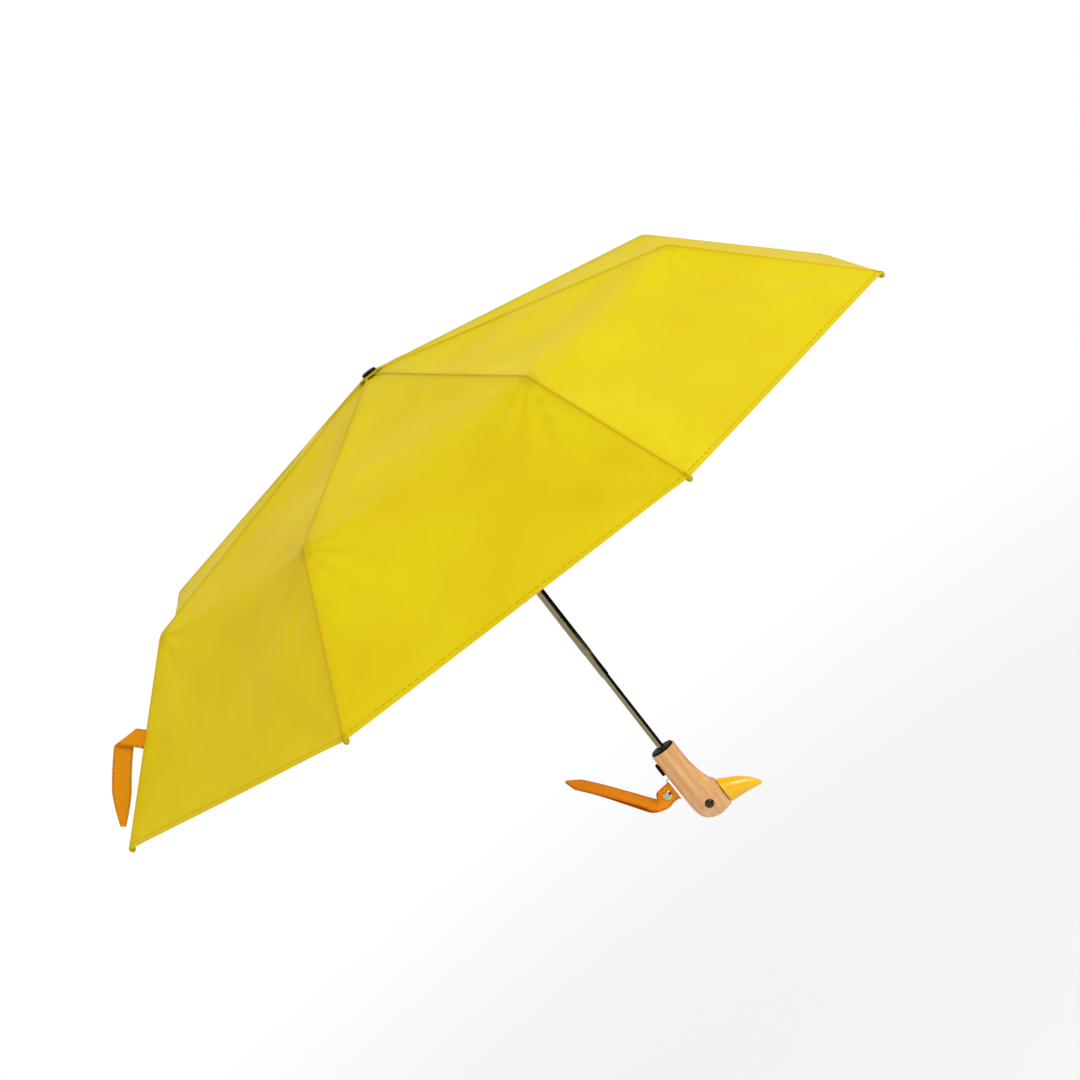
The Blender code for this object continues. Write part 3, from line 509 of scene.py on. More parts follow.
CANOPY_CLOTH = CanopyCloth("pongee_polyester_plain_weave", "#D2CC08", 0.55, sockets=(("Specular IOR Level", 0.12),))
STRAP_TAPE = WovenTape("woven_polyester_tape", "#E88E0A", 0.85, sockets=(("Specular IOR Level", 0.2),))
TIE_TAPE = WovenTape("cloth_band_outside", "#E6C40A", 0.65, dark="#CF9A04", stitch="#B88600", margin=0.1,
                     sockets=(("Specular IOR Level", 0.2),))
TIE_LINING = WovenTape("cloth_band_inside", "#D28400", 0.8, dark="#AC6800", stitch="#A06000", margin=0.1,
                       sockets=(("Specular IOR Level", 0.15),))
TUBE_STEEL = DrawnMetal("nickel_plated_drawn_steel", "#8E8266", 0.16, 1.0, dull="#5E5644")
ROD_STEEL = DrawnMetal("zinc_plated_wire", "#8F8E8A", 0.3, 1.0, dull="#66645E")
SNAP_STEEL = DrawnMetal("polished_nickel_plate", "#C2B48E", 0.16, 1.0, dull="#857A5E", streak=1.5 * MM, axis=0)
RIB_METAL = DrawnMetal("rolled_aluminium", "#A4A6AA", 0.34, 1.0, dull="#75777B")
BLACK_NYLON = MouldedNylon("moulded_black_polyamide", "#050506", 0.5, rubbed="#0E0E10",
                           sockets=(("Specular IOR Level", 0.08),))
BIRCH = TurnedBirch("varnished_birch", "#DDAC78", 0.45, late="#BC7F49", fleck="#A3623A",
                    sockets=(("Specular IOR Level", 0.3), ("Coat Weight", 0.12), ("Coat Roughness", 0.3)))
BEAK_LACQUER = GlossLacquer("gloss_yellow_lacquer", "#E8B400", 0.3, deep="#D89A00",
                            sockets=(("Specular IOR Level", 0.3), ("Coat Weight", 0.35), ("Coat Roughness", 0.08)))
EYE_BLACK = EyeBead("polished_black_bead", "#050404", 0.08, sockets=(("Specular IOR Level", 0.3),
                                                                    ("Coat Weight", 0.3), ("Coat Roughness", 0.03)))


# ---------------------------------------------------------------- meshes


def add_piece(name: str, bm: bmesh.types.BMesh, finish: Finish, smooth: bool = True) -> bpy.types.Object:
    """Turn a bmesh into a piece at the origin.

    Args:
        name: The piece's name.
        bm: Its shape, which is freed.
        finish: What its surface is.
        smooth: Whether its faces are shaded smooth.

    Returns:
        The piece's object.
    """
    mesh = bpy.data.meshes.new(name)
    bm.to_mesh(mesh)
    bm.free()
    if smooth:
        mesh.shade_smooth()
    mesh.materials.append(finish.material())
    made = bpy.data.objects.new(name, mesh)
    bpy.context.scene.collection.objects.link(made)
    return made


def grid_points(bm: bmesh.types.BMesh, across: int, along: int) -> list[tuple[bmesh.types.BMVert, int, int]]:
    """Add a flat grid and say which column and row each of its vertices is in.

    Args:
        bm: The bmesh that takes the grid.
        across: The number of faces across.
        along: The number of faces along.

    Returns:
        Each vertex with its column and row.
    """
    made = bmesh.ops.create_grid(bm, x_segments=across, y_segments=along, size=0.5)
    return [
        (v, round((v.co.x + 0.5) * across), round((v.co.y + 0.5) * along)) for v in made["verts"]
    ]


def smooth_route(points: list[tuple[float, ...]], steps: int) -> list[Vector]:
    """Points on a smooth curve (Catmull-Rom) through the given ones.

    Args:
        points: The curve's own points.
        steps: How many steps between two of them.

    Returns:
        The points along the curve, both ends included.
    """
    given = [Vector(p) for p in points]
    ends = [2 * given[0] - given[1], *given, 2 * given[-1] - given[-2]]
    out = []
    for i in range(len(given) - 1):
        a, b, c, d = ends[i : i + 4]
        for k in range(steps):
            t = k / steps
            out.append(
                0.5 * (2 * b + (c - a) * t + (2 * a - 5 * b + 4 * c - d) * t * t
                       + (3 * b - a - 3 * c + d) * t ** 3)
            )
    return [*out, given[-1]]


# ---------------------------------------------------------------- canopy


class Zone(Enum):
    """The stretches of a half-gore, named for the rib link that carries each."""

    TOP = "top"
    MIDDLE = "middle"
    GUSSET = "gusset"
    OUTER = "outer"


@dataclass
class Canopy:
    """The cloth: eight gores sewn rib to rib, cut along the links so that it folds with them."""

    ribs: int = 8
    first_heading: float = math.radians(-157.5)
    apex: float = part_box("top_cap")[1].z - 2.5 * MM
    hole: float = 7 * MM
    tip_radius: float = 485 * MM
    tip_depth: float = 207 * MM
    bend_radius: float = 331 * MM
    bend_depth: float = 68.5 * MM
    elbow_radius: float = 166.5 * MM
    sag: float = 7 * MM
    rib_softness: float = 1.0 * MM
    gore_softness: float = 7.0 * MM
    seam_height: float = 0.75 * MM
    wave_count: int = 8
    wave_mm: tuple[float, float] = (55, 170)
    wave_height_mm: tuple[float, float] = (0.25, 0.8)
    usual_wave: float = 110 * MM
    tip_fan: tuple[float, float] = (130 * MM, 1.1 * MM)
    bend_fan: tuple[float, float] = (95 * MM, 0.95 * MM)
    fan_lines: tuple[float, float] = (9, 13)
    pucker_pitch: float = 11 * MM
    pucker_drift: float = 47 * MM
    pucker_height: float = 0.16 * MM
    gather_reach: float = 17 * MM
    gather_height: float = 0.55 * MM
    seam_width: float = 1.25 * MM
    columns_mm: tuple[float, ...] = (0.0, 0.7, 1.4, 2.2, 3.6, 6.0)
    columns: int = 20
    patch_half_width: float = 7.5 * MM
    patch_reach: float = 10 * MM
    patch_drop: float = 0.45 * MM
    disc_radii: tuple[float, float] = (6.3 * MM, 14.5 * MM)
    disc_scallop: float = 0.35 * MM
    disc_lift: float = 0.75 * MM
    disc_gather: float = 0.4 * MM
    pocket_length: float = 14 * MM
    pocket_half_width: float = 3.0 * MM
    pocket_below: float = 6.1 * MM
    pocket_above: float = 0.5 * MM
    pocket_past_tip: float = 3.0 * MM
    least_flat_side: float = 10.2 * MM
    rows: dict = field(default_factory=lambda: {Zone.TOP: 44, Zone.MIDDLE: 46, Zone.GUSSET: 10, Zone.OUTER: 50})
    keep: dict = field(default_factory=lambda: {Zone.TOP: 0.07, Zone.MIDDLE: 0.05, Zone.GUSSET: 0.06,
                                                Zone.OUTER: 0.062})
    aside: dict = field(default_factory=lambda: {Zone.TOP: 2.6 * MM, Zone.MIDDLE: 2.4 * MM, Zone.GUSSET: 0.0,
                                                 Zone.OUTER: 0.0})

    @property
    def half(self) -> float:
        """Half the angle between two ribs."""
        return math.pi / self.ribs

    @property
    def inner_slope(self) -> float:
        """How far the inner stretch of a rib falls below level, in radians."""
        return math.atan2(self.bend_depth, self.bend_radius)

    @property
    def outer_slope(self) -> float:
        """How far the outer stretch of a rib falls below level, in radians."""
        return math.atan2(self.tip_depth - self.bend_depth, self.tip_radius - self.bend_radius)

    def depth(self, radius: np.ndarray, inwards: np.ndarray) -> tuple[np.ndarray, np.ndarray]:
        """How deep the cloth lies, and its slope, with the bend rounded more in the middle of a gore.

        Args:
            radius: The radius of the ring through the ribs.
            inwards: 0 at a rib, 1 in the middle of a gore.

        Returns:
            The depth below the apex, and the slope in radians.
        """
        t1, t2 = math.tan(self.inner_slope), math.tan(self.outer_slope)
        soft = self.rib_softness + self.gore_softness * inwards * (2 - inwards)
        inner = radius * t1
        past = (radius - self.bend_radius) * (t2 - t1)
        depth = inner + soft * np.logaddexp(0, past / soft)
        share = 1 / (1 + np.exp(-np.clip(past / soft, -40, 40)))
        return depth, np.arctan(t1 + (t2 - t1) * share)

    def wrinkles(self, radius: np.ndarray, gap: np.ndarray, inwards: np.ndarray, gore: int, side: int) -> np.ndarray:
        """How far the cloth stands off its tight shape, along its normal.

        Args:
            radius: The radius of the ring through the ribs.
            gap: The distance from the rib.
            inwards: 0 at the rib, 1 in the middle of the gore.
            gore: The gore's number, which sets its own creases.
            side: +1 on the gore's first half, -1 on its second.

        Returns:
            The offsets, in metres.
        """
        rng = np.random.default_rng(100 + gore)
        width = 2 * radius * math.sin(self.half)
        across = (width / 2 - gap) * -side  # from the middle of the gore
        free = np.clip(inwards * 3, 0, 1) * np.clip((self.tip_radius - radius) / (30 * MM), 0, 1)
        out = np.zeros_like(radius)
        for _ in range(self.wave_count):  # long shallow waves
            wave = rng.uniform(*self.wave_mm) * MM
            turn = rng.uniform(-1.0, 1.0)
            phase = rng.uniform(0, math.tau)
            size = rng.uniform(*self.wave_height_mm) * MM * wave / self.usual_wave
            run = radius * math.cos(turn) + across * math.sin(turn)
            out += size * free * np.sin(math.tau * run / wave + phase)
        for corner in (-1, 1):  # tension lines fanning from the tips, and from the bends into the outer panel
            for at, (reach, size) in ((self.tip_radius, self.tip_fan), (self.bend_radius, self.bend_fan)):
                spread = rng.uniform(*self.fan_lines)
                phase = rng.uniform(0, math.tau)
                along = radius - at
                sideways = across - corner * at * math.sin(self.half)
                away = np.hypot(along, sideways)
                angle = np.arctan2(sideways, along + 1e-9)
                hold = np.clip(away / (14 * MM), 0, 1) * np.exp(-((away / reach) ** 2))
                out += size * hold * np.clip(inwards * 6, 0, 1) * np.sin(spread * angle + phase)
        stitch = np.exp(-((gap / (5 * MM)) ** 2)) * np.clip(gap / (1.2 * MM), 0, 1)  # puckers beside the seam
        drift = 1.7 * np.sin(math.tau * radius / self.pucker_drift + gore)
        beat = np.sin(math.tau * radius / self.pucker_pitch + drift)
        out += self.pucker_height * stitch * beat * np.clip((radius - 20 * MM) / (20 * MM), 0, 1)
        near = np.exp(-(((radius - self.hole) / self.gather_reach) ** 2))  # gathers under the cap
        out += self.gather_height * near * np.clip(inwards * 4, 0, 1) * np.cos(math.tau * inwards * 1.5)
        ridge = np.exp(-((gap / self.seam_width) ** 2)) * np.clip(radius / (18 * MM), 0.25, 1)
        return out + self.seam_height * ridge

    def tight(self, radius: np.ndarray, gap: np.ndarray, heading: float, side: int) -> np.ndarray:
        """Points of the cloth pulled tight, without its wrinkles.

        Args:
            radius: The radius of the ring through the ribs.
            gap: The distance from the rib, along the chord between two ribs.
            heading: The rib's heading.
            side: +1 for the gore counter-clockwise of the rib, -1 for the other.

        Returns:
            The points, one row each.
        """
        reach = radius * math.sin(self.half)
        inwards = np.clip(gap / reach, 0, 1)
        q = 1 - inwards
        depth, slope = self.depth(radius, inwards)
        drop = self.sag * np.sin(np.clip((radius - self.hole) / (self.tip_radius - self.hole), 0, 1) * math.pi)
        drop = drop * (1 - q * q)
        x = radius * math.cos(self.half) - drop * np.sin(slope)
        y = -side * q * reach
        z = self.apex - depth - drop * np.cos(slope)
        middle = heading + side * self.half
        return np.stack([
            x * math.cos(middle) - y * math.sin(middle), x * math.sin(middle) + y * math.cos(middle), z
        ], axis=-1)

    def cloth(self, radius: np.ndarray, gap: np.ndarray, rib: int, side: int) -> tuple[np.ndarray, np.ndarray]:
        """Points of the finished cloth, and its normals.

        Args:
            radius: The radius of the ring through the ribs.
            gap: The distance from the rib.
            rib: The rib's number, from 0.
            side: +1 for the gore counter-clockwise of the rib, -1 for the other.

        Returns:
            The points and the unit normals, one row each.
        """
        heading = self.heading(rib)
        gore = rib if side > 0 else (rib - 1) % self.ribs
        step = 0.15 * MM
        tangent = np.array([-math.sin(heading), math.cos(heading), 0.0])

        def base_normal(r: np.ndarray, g: np.ndarray) -> np.ndarray:
            """The normal of the tight shape, which both sides of a seam share."""
            down = self.tight(r + step, g, heading, side) - self.tight(r - step, g, heading, side)
            over = self.tight(r, g + step, heading, side) - self.tight(r, np.maximum(g - step, 0), heading, side)
            n = np.cross(down, over) * side
            n /= np.linalg.norm(n, axis=-1, keepdims=True)
            n -= np.outer((n @ tangent) * np.exp(-((g / (2.5 * MM)) ** 2)), tangent)
            return n / np.linalg.norm(n, axis=-1, keepdims=True)

        def point(r: np.ndarray, g: np.ndarray) -> np.ndarray:
            """A point of the wrinkled cloth."""
            inwards = np.clip(g / (r * math.sin(self.half)), 0, 1)
            off = self.wrinkles(r, g, inwards, gore, side)
            return self.tight(r, g, heading, side) + base_normal(r, g) * off[..., None]

        reach = radius * math.sin(self.half)
        low, high = np.maximum(gap - step, 0), np.minimum(gap + step, reach)
        down = point(radius + step, gap) - point(radius - step, gap)
        over = point(radius, high) - point(radius, low)
        normal = np.cross(down, over) * side
        normal /= np.linalg.norm(normal, axis=-1, keepdims=True)
        # On a seam and in the middle of a gore both halves share one normal.
        on_rib = gap < 0.05 * MM
        normal[on_rib] -= np.outer(normal[on_rib] @ tangent, tangent)
        middle = heading + side * self.half
        chord = np.array([-math.sin(middle), math.cos(middle), 0.0])
        in_middle = gap > reach - 0.05 * MM
        normal[in_middle] -= np.outer(normal[in_middle] @ chord, chord)
        normal /= np.linalg.norm(normal, axis=-1, keepdims=True)
        return point(radius, gap), normal

    def heading(self, rib: int) -> float:
        """A rib's direction about +Z."""
        return self.first_heading + rib * math.tau / self.ribs

    def gap_of(self, column: int, radius: float) -> float:
        """How far from the rib a column of the grid lies on the ring of this radius.

        Args:
            column: The column, from 0 on the seam.
            radius: The radius of the ring through the ribs.

        Returns:
            The distance along the chord.
        """
        reach = radius * math.sin(self.half)
        near = [c * MM for c in self.columns_mm]
        squeeze = min(1.0, reach / (3 * near[-1]))
        if column < len(near):
            return near[column] * squeeze
        start = near[-1] * squeeze
        share = (column - len(near) + 1) / (self.columns - len(near) + 1)
        return start + (reach - start) * share

    def border(self, column: int, start: float, slope: float) -> float:
        """The ring on which a cut square to the rib crosses a column.

        Args:
            column: The column of the grid.
            start: The cut's radius at the rib.
            slope: The rib's slope there.

        Returns:
            The ring's radius.
        """
        lean = math.sin(self.half) ** 2 * math.cos(slope) ** 2
        radius = start
        for _ in range(12):
            share = self.gap_of(column, radius) / (radius * math.sin(self.half))
            radius = start / (1 - share * lean)
        return radius

    def limits(self, zone: Zone, column: int) -> tuple[float, float]:
        """The rings on which a column of a zone starts and ends."""
        elbow = self.border(column, self.elbow_radius, self.inner_slope)
        knee = self.border(column, self.bend_radius, self.outer_slope)
        return {
            Zone.TOP: (self.hole, elbow),
            Zone.MIDDLE: (elbow, self.bend_radius),
            Zone.GUSSET: (self.bend_radius, knee),
            Zone.OUTER: (knee, self.tip_radius),
        }[zone]

    def half_gore(self, rib: int, side: int, zone: Zone) -> bpy.types.Object:
        """One stretch of one half-gore.

        Args:
            rib: The rib that it is sewn to, from 0.
            side: +1 or -1.
            zone: The stretch.

        Returns:
            The piece, riding and folding with its rib link.
        """
        bm = bmesh.new()
        tag = bm.verts.layers.int.new("spot")
        uv = bm.loops.layers.uv.new("weave")
        rows = self.rows[zone]
        spots = grid_points(bm, self.columns, rows)
        radius, gap = np.empty(len(spots)), np.empty(len(spots))
        spans = [self.limits(zone, c) for c in range(self.columns + 1)]
        for i, (_, column, row) in enumerate(spots):
            low, high = spans[column]
            radius[i] = low + (high - low) * row / rows
            gap[i] = self.gap_of(column, radius[i])
        places, normals = self.cloth(radius, gap, rib, side)
        for i, (vert, _, _) in enumerate(spots):
            vert.co = places[i]
            vert[tag] = i
        bmesh.ops.remove_doubles(bm, verts=bm.verts, dist=0.001 * MM)
        bm.faces.ensure_lookup_table()
        bm.verts.ensure_lookup_table()
        biggest = max(bm.faces, key=lambda f: f.calc_area())
        if biggest.normal.z < 0:
            bmesh.ops.reverse_faces(bm, faces=bm.faces)
        order = [v[tag] for v in bm.verts]
        reach = radius * math.sin(self.half)
        for face in bm.faces:
            for loop in face.loops:
                i = loop.vert[tag]
                loop[uv].uv = (-side * (reach[i] - gap[i]), radius[i] / math.cos(self.inner_slope))
        bm.verts.layers.int.remove(tag)
        piece = add_piece(f"cloth_{zone.value}_{rib + 1}_{'left' if side > 0 else 'right'}", bm, CANOPY_CLOTH)
        mesh = piece.data
        hem = (self.tip_radius - radius) / math.cos(self.outer_slope)
        for name, values in (("rib_gap", gap), ("hem_gap", hem)):
            layer = mesh.attributes.new(name, "FLOAT", "POINT")
            layer.data.foreach_set("value", values[order].astype(np.float32))
        mesh.normals_split_custom_set_from_vertices([tuple(n) for n in normals[order]])
        self.hang(piece, rib, side, zone, places[order])
        return piece

    def hang(self, piece: bpy.types.Object, rib: int, side: int, zone: Zone, places: np.ndarray) -> None:
        """Let a stretch of cloth ride its link.

        Args:
            piece: The stretch.
            rib: Its rib, from 0.
            side: +1 or -1.
            zone: Which stretch it is.
            places: Its points.
        """
        heading = self.heading(rib)
        outer = zone in (Zone.GUSSET, Zone.OUTER)
        slope = self.outer_slope if outer else self.inner_slope
        out = np.array([math.cos(heading), math.sin(heading), 0.0])
        line = out * math.cos(slope) - np.array([0, 0, math.sin(slope)])
        start = out * self.bend_radius + np.array([0, 0, self.apex - self.bend_depth])
        if zone is Zone.GUSSET:
            middle = heading + side * self.half
            away = side * np.array([-math.sin(middle), math.cos(middle), 0.0])
        else:
            offset = places - start
            offset = offset - np.outer(offset @ line, line)
            away = offset.sum(0)
            away /= np.linalg.norm(away)
        body = {Zone.TOP: "top_rib", Zone.MIDDLE: "middle_rib"}.get(zone, "outer_rib")
        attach(piece, f"{body}_{rib + 1}")
        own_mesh(piece)

    def knee_patch(self, rib: int) -> bpy.types.Object:
        """The small patch sewn under the cloth where the middle and outer links meet.

        Args:
            rib: The rib, from 0.

        Returns:
            The patch.
        """
        across, along = 12, 16
        half_width, reach = self.patch_half_width, self.patch_reach
        bm = bmesh.new()
        spots = grid_points(bm, across, along)
        for vert, column, row in spots:
            offset = (2 * column / across - 1) * half_width
            radius = np.array([self.bend_radius - reach + 2 * reach * row / along])
            gap = np.array([abs(offset)])
            side = 1 if offset >= 0 else -1
            place = self.tight(radius, gap, self.heading(rib), side)[0]
            vert.co = Vector(place) - Vector((0, 0, self.patch_drop))
        bm.faces.ensure_lookup_table()
        if bm.faces[0].normal.z < 0:
            bmesh.ops.reverse_faces(bm, faces=bm.faces)
        piece = add_piece(f"knee_patch_{rib + 1}", bm, CANOPY_CLOTH)
        self.plain_map(piece, 0.02)
        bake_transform(piece)
        return piece

    def rosette(self) -> bpy.types.Object:
        """The gathered disc of cloth that the cap holds down on the crown."""
        bm = bmesh.new()
        around, rings = 96, 8
        inner, outer = self.disc_radii
        spots = grid_points(bm, around, rings)
        slope = math.tan(self.inner_slope)
        for vert, column, row in spots:
            angle = math.tau * column / around
            share = row / rings
            radius = inner + (outer - inner) * share + self.disc_scallop * share * math.sin(8 * angle + 0.6)
            lift = self.disc_lift + self.disc_gather * math.sin(24 * angle) * share * (1.2 - share)
            vert.co = (radius * math.cos(angle), radius * math.sin(angle), self.apex - radius * slope + lift)
        bmesh.ops.remove_doubles(bm, verts=bm.verts, dist=0.001 * MM)
        bmesh.ops.recalc_face_normals(bm, faces=bm.faces)
        bm.faces.ensure_lookup_table()
        if bm.faces[0].normal.z < 0:
            bmesh.ops.reverse_faces(bm, faces=bm.faces)
        piece = add_piece("crown_rosette", bm, CANOPY_CLOTH)
        self.plain_map(piece, 0.0016)
        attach(piece, "upper_shaft")
        return piece

    def tip_pocket(self, rib: int) -> bpy.types.Object:
        """The little pouch of doubled cloth that holds the ball at a rib's tip.

        Args:
            rib: The rib, from 0.

        Returns:
            The pouch, riding on its outer link.
        """
        length, half_width = self.pocket_length, self.pocket_half_width
        below, above = self.pocket_below, self.pocket_above
        bm = bmesh.new()
        bmesh.ops.create_uvsphere(bm, u_segments=28, v_segments=18, radius=1.0)
        heading = self.heading(rib)
        out = Vector((math.cos(heading), math.sin(heading), 0))
        slope = self.outer_slope
        down = out * math.cos(slope) - Vector((0, 0, math.sin(slope)))
        lift = out * math.sin(slope) + Vector((0, 0, math.cos(slope)))
        aside = lift.cross(down)
        tip = out * self.tip_radius + Vector((0, 0, self.apex - self.tip_depth))
        for vert in bm.verts:
            along, side, high = vert.co
            # Long and flat towards the rib, round and full over the ball.
            open_end = min(1.0, max(0.0, (0.35 - along) / 1.35))
            reach = along * (length - 4.4 * MM) if along < 0 else along * self.pocket_past_tip
            wide = half_width * (1 - 0.25 * open_end)
            pleat = 1 + 0.06 * math.sin(9 * math.atan2(high, side)) * (1 - abs(along))
            middle = (above - below) / 2
            tall = (above + below) / 2 * (1 - 0.3 * open_end)
            vert.co = (tip - down * 1.2 * MM + down * reach + aside * (side * wide * pleat)
                       + lift * (middle * (1 - 0.15 * open_end) + high * tall * pleat))
        bmesh.ops.recalc_face_normals(bm, faces=bm.faces)
        piece = add_piece(f"tip_pocket_{rib + 1}", bm, CANOPY_CLOTH)
        self.plain_map(piece, 0.0016)
        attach(piece, f"outer_rib_{rib + 1}")
        return piece

    def plain_map(self, piece: bpy.types.Object, rib_gap: float) -> None:
        """Give a small piece of the cloth a map of its own and no hem.

        Args:
            piece: The piece.
            rib_gap: How far from a seam its colour is taken.
        """
        uv = piece.data.uv_layers.new(name="weave")
        for loop in piece.data.loops:
            at = piece.data.vertices[loop.vertex_index].co
            uv.data[loop.index].uv = (at.x, at.y)
        for name, value in (("rib_gap", rib_gap), ("hem_gap", 0.05)):
            layer = piece.data.attributes.new(name, "FLOAT", "POINT")
            layer.data.foreach_set("value", np.full(len(piece.data.vertices), value, np.float32))

    def build(self) -> None:
        """Build every stretch of cloth and hide the plain gores."""
        made: list[bpy.types.Object] = []
        for rib in range(self.ribs):
            for side in (1, -1):
                for zone in Zone:
                    piece = self.half_gore(rib, side, zone)
                    if side > 0 and zone is Zone.OUTER:
                        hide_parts(f"canopy_gore_{rib + 1}")
                    made.append(piece)
            patch = self.knee_patch(rib)
            pocket = self.tip_pocket(rib)
            made += [patch, pocket]
        disc = self.rosette()
        made.append(disc)
        LOG.info("canopy: %d pieces, %d faces", len(made), sum(len(o.data.polygons) for o in made))


# ---------------------------------------------------------------- bands


@dataclass
class Band:
    """A flat band of tape along a route, with its own map and a slightly crowned face."""

    name: str
    width: float
    thickness: float
    finish: Finish
    lanes: int = 8
    flat_share: float = 0.86
    edge_loss: float = 0.55

    def build(self, route: list[Vector], across: list[Vector], taper: list[float] | None = None) -> bpy.types.Object:
        """Sweep the band.

        Args:
            route: The points of its middle line.
            across: The direction of its width at each point.
            taper: Its width at each point, as a share; all 1 if left out.

        Returns:
            The band's object, a closed solid.
        """
        n = len(route)
        taper = taper or [1.0] * n
        lanes = self.lanes
        bm = bmesh.new()
        uv = bm.loops.layers.uv.new("tape")
        profile = [(2 * k / lanes - 1, 1) for k in range(lanes + 1)]
        profile += [(1 - 2 * k / lanes, -1) for k in range(lanes + 1)]
        spots = grid_points(bm, len(profile), n - 1)
        run = [0.0]
        for a, b in zip(route, route[1:]):
            run.append(run[-1] + (b - a).length)
        frames = []
        for i in range(n):
            tangent = (route[min(i + 1, n - 1)] - route[max(i - 1, 0)]).normalized()
            side = (across[i] - tangent * across[i].dot(tangent)).normalized()
            frames.append((side, tangent.cross(side)))
        where = {}
        for vert, column, row in spots:
            u, face = profile[column % len(profile)]
            side, normal = frames[row]
            edge = 1 - self.edge_loss * max(0.0, abs(u) - self.flat_share) / (1 - self.flat_share)
            half = self.thickness / 2 * edge
            vert.co = route[row] + side * (u * self.width * taper[row] / 2) + normal * (face * half)
            where[vert] = ((u + 1) / 2, run[row])
        for face in bm.faces:
            for loop in face.loops:
                loop[uv].uv = where[loop.vert]
        bmesh.ops.remove_doubles(bm, verts=bm.verts, dist=0.002 * MM)
        bmesh.ops.holes_fill(bm, edges=[e for e in bm.edges if e.is_boundary], sides=0)
        bmesh.ops.recalc_face_normals(bm, faces=bm.faces)
        piece = add_piece(self.name, bm, self.finish)
        piece.data.set_sharp_from_angle(angle=math.radians(50))
        return piece


@dataclass
class WristStrap:
    """The wrist loop: one tape that goes round the bail, is snapped together, and runs out and back."""

    width: float = 20 * MM
    thickness: float = 0.75 * MM
    bar: float = -17.5 * MM
    wrap: float = 1.2 * MM
    fold: float = 14 * MM
    closed_gap: float = 0.42 * MM
    belly: float = 1.5 * MM
    belly_from: float = 0.22
    belly_span: float = 0.72
    end_from: float = 0.94
    end_gap: float = 0.25 * MM
    least_taper: float = 0.12
    end_overrun: float = 0.8 * MM
    neck: tuple[float, float] = (-13.7, 15.5)
    route: tuple[tuple[float, float, float], ...] = (
        (5.6, 0, 12.6), (12.9, 0, 12.9), (20.4, 0.2, 14.6), (27.9, 2.4, 14.2), (34.9, 8, 8.0),
        (46.9, 16.5, -6.5), (65.4, 29, -28.5), (88.4, 42.5, -53.0),
    )
    across: tuple[tuple[float, float, float], ...] = (
        (0, 0, 1), (0, 0.01, 1), (0.3, 0.55, 0.8), (0.35, 0.95, 0.25), (0.4, 0.9, 0.1), (0.4, 0.9, 0.1),
        (0.4, 0.9, 0.1), (0.4, 0.9, 0.1),
    )

    def build(self) -> bpy.types.Object:
        """Build the loop, riding on the bail."""
        steps = 9
        back, pivot = self.neck
        line = smooth_route(
            [((back - out) * MM, y * MM, (pivot - down) * MM) for out, y, down in self.route], steps
        )
        sides = smooth_route(list(self.across), steps)
        n = len(line)
        layers: dict[int, list[Vector]] = {1: [], -1: []}
        for i, point in enumerate(line):
            tangent = (line[min(i + 1, n - 1)] - line[max(i - 1, 0)]).normalized()
            side = (sides[i] - tangent * sides[i].dot(tangent)).normalized()
            normal = tangent.cross(side)
            share = i / (n - 1)
            bulge = max(0.0, math.sin(math.pi * (share - self.belly_from) / self.belly_span)) ** 2
            open_by = self.closed_gap + self.belly * bulge * (share > self.belly_from)
            if share > self.end_from:
                open_by = self.closed_gap + self.end_gap * (share - self.end_from) / (1 - self.end_from)
            for face in (1, -1):
                layers[face].append(point + normal * (face * open_by))
        centre = Vector((self.bar, 0, line[0].z))
        lead = layers[1][0] - layers[-1][0]
        sign = 1 if lead.y > 0 else -1
        turn = []
        for k in range(1, 10):  # round the bar of the bail
            angle = math.pi * k / 10
            turn.append(centre + Vector((self.wrap * math.sin(angle), sign * self.wrap * math.cos(angle), 0)))
        loop = [*reversed(layers[1]), *turn, *layers[-1]]
        widths = [*reversed(sides), *([sides[0]] * len(turn)), *sides]
        end = line[-1] + (line[-1] - line[-2]).normalized() * self.end_overrun  # the fold at the far end
        loop = [end, *loop, end]
        widths = [sides[-1], *widths, sides[-1]]
        far = [(p - end).length for p in loop]
        # mitred where it turns back
        taper = [min(1.0, self.least_taper + (1 - self.least_taper) * d / self.fold) for d in far]
        piece = Band("wrist_loop", self.width, self.thickness, STRAP_TAPE).build(loop, widths, taper)
        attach(piece, "strap")
        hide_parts("wrist_strap")
        return piece


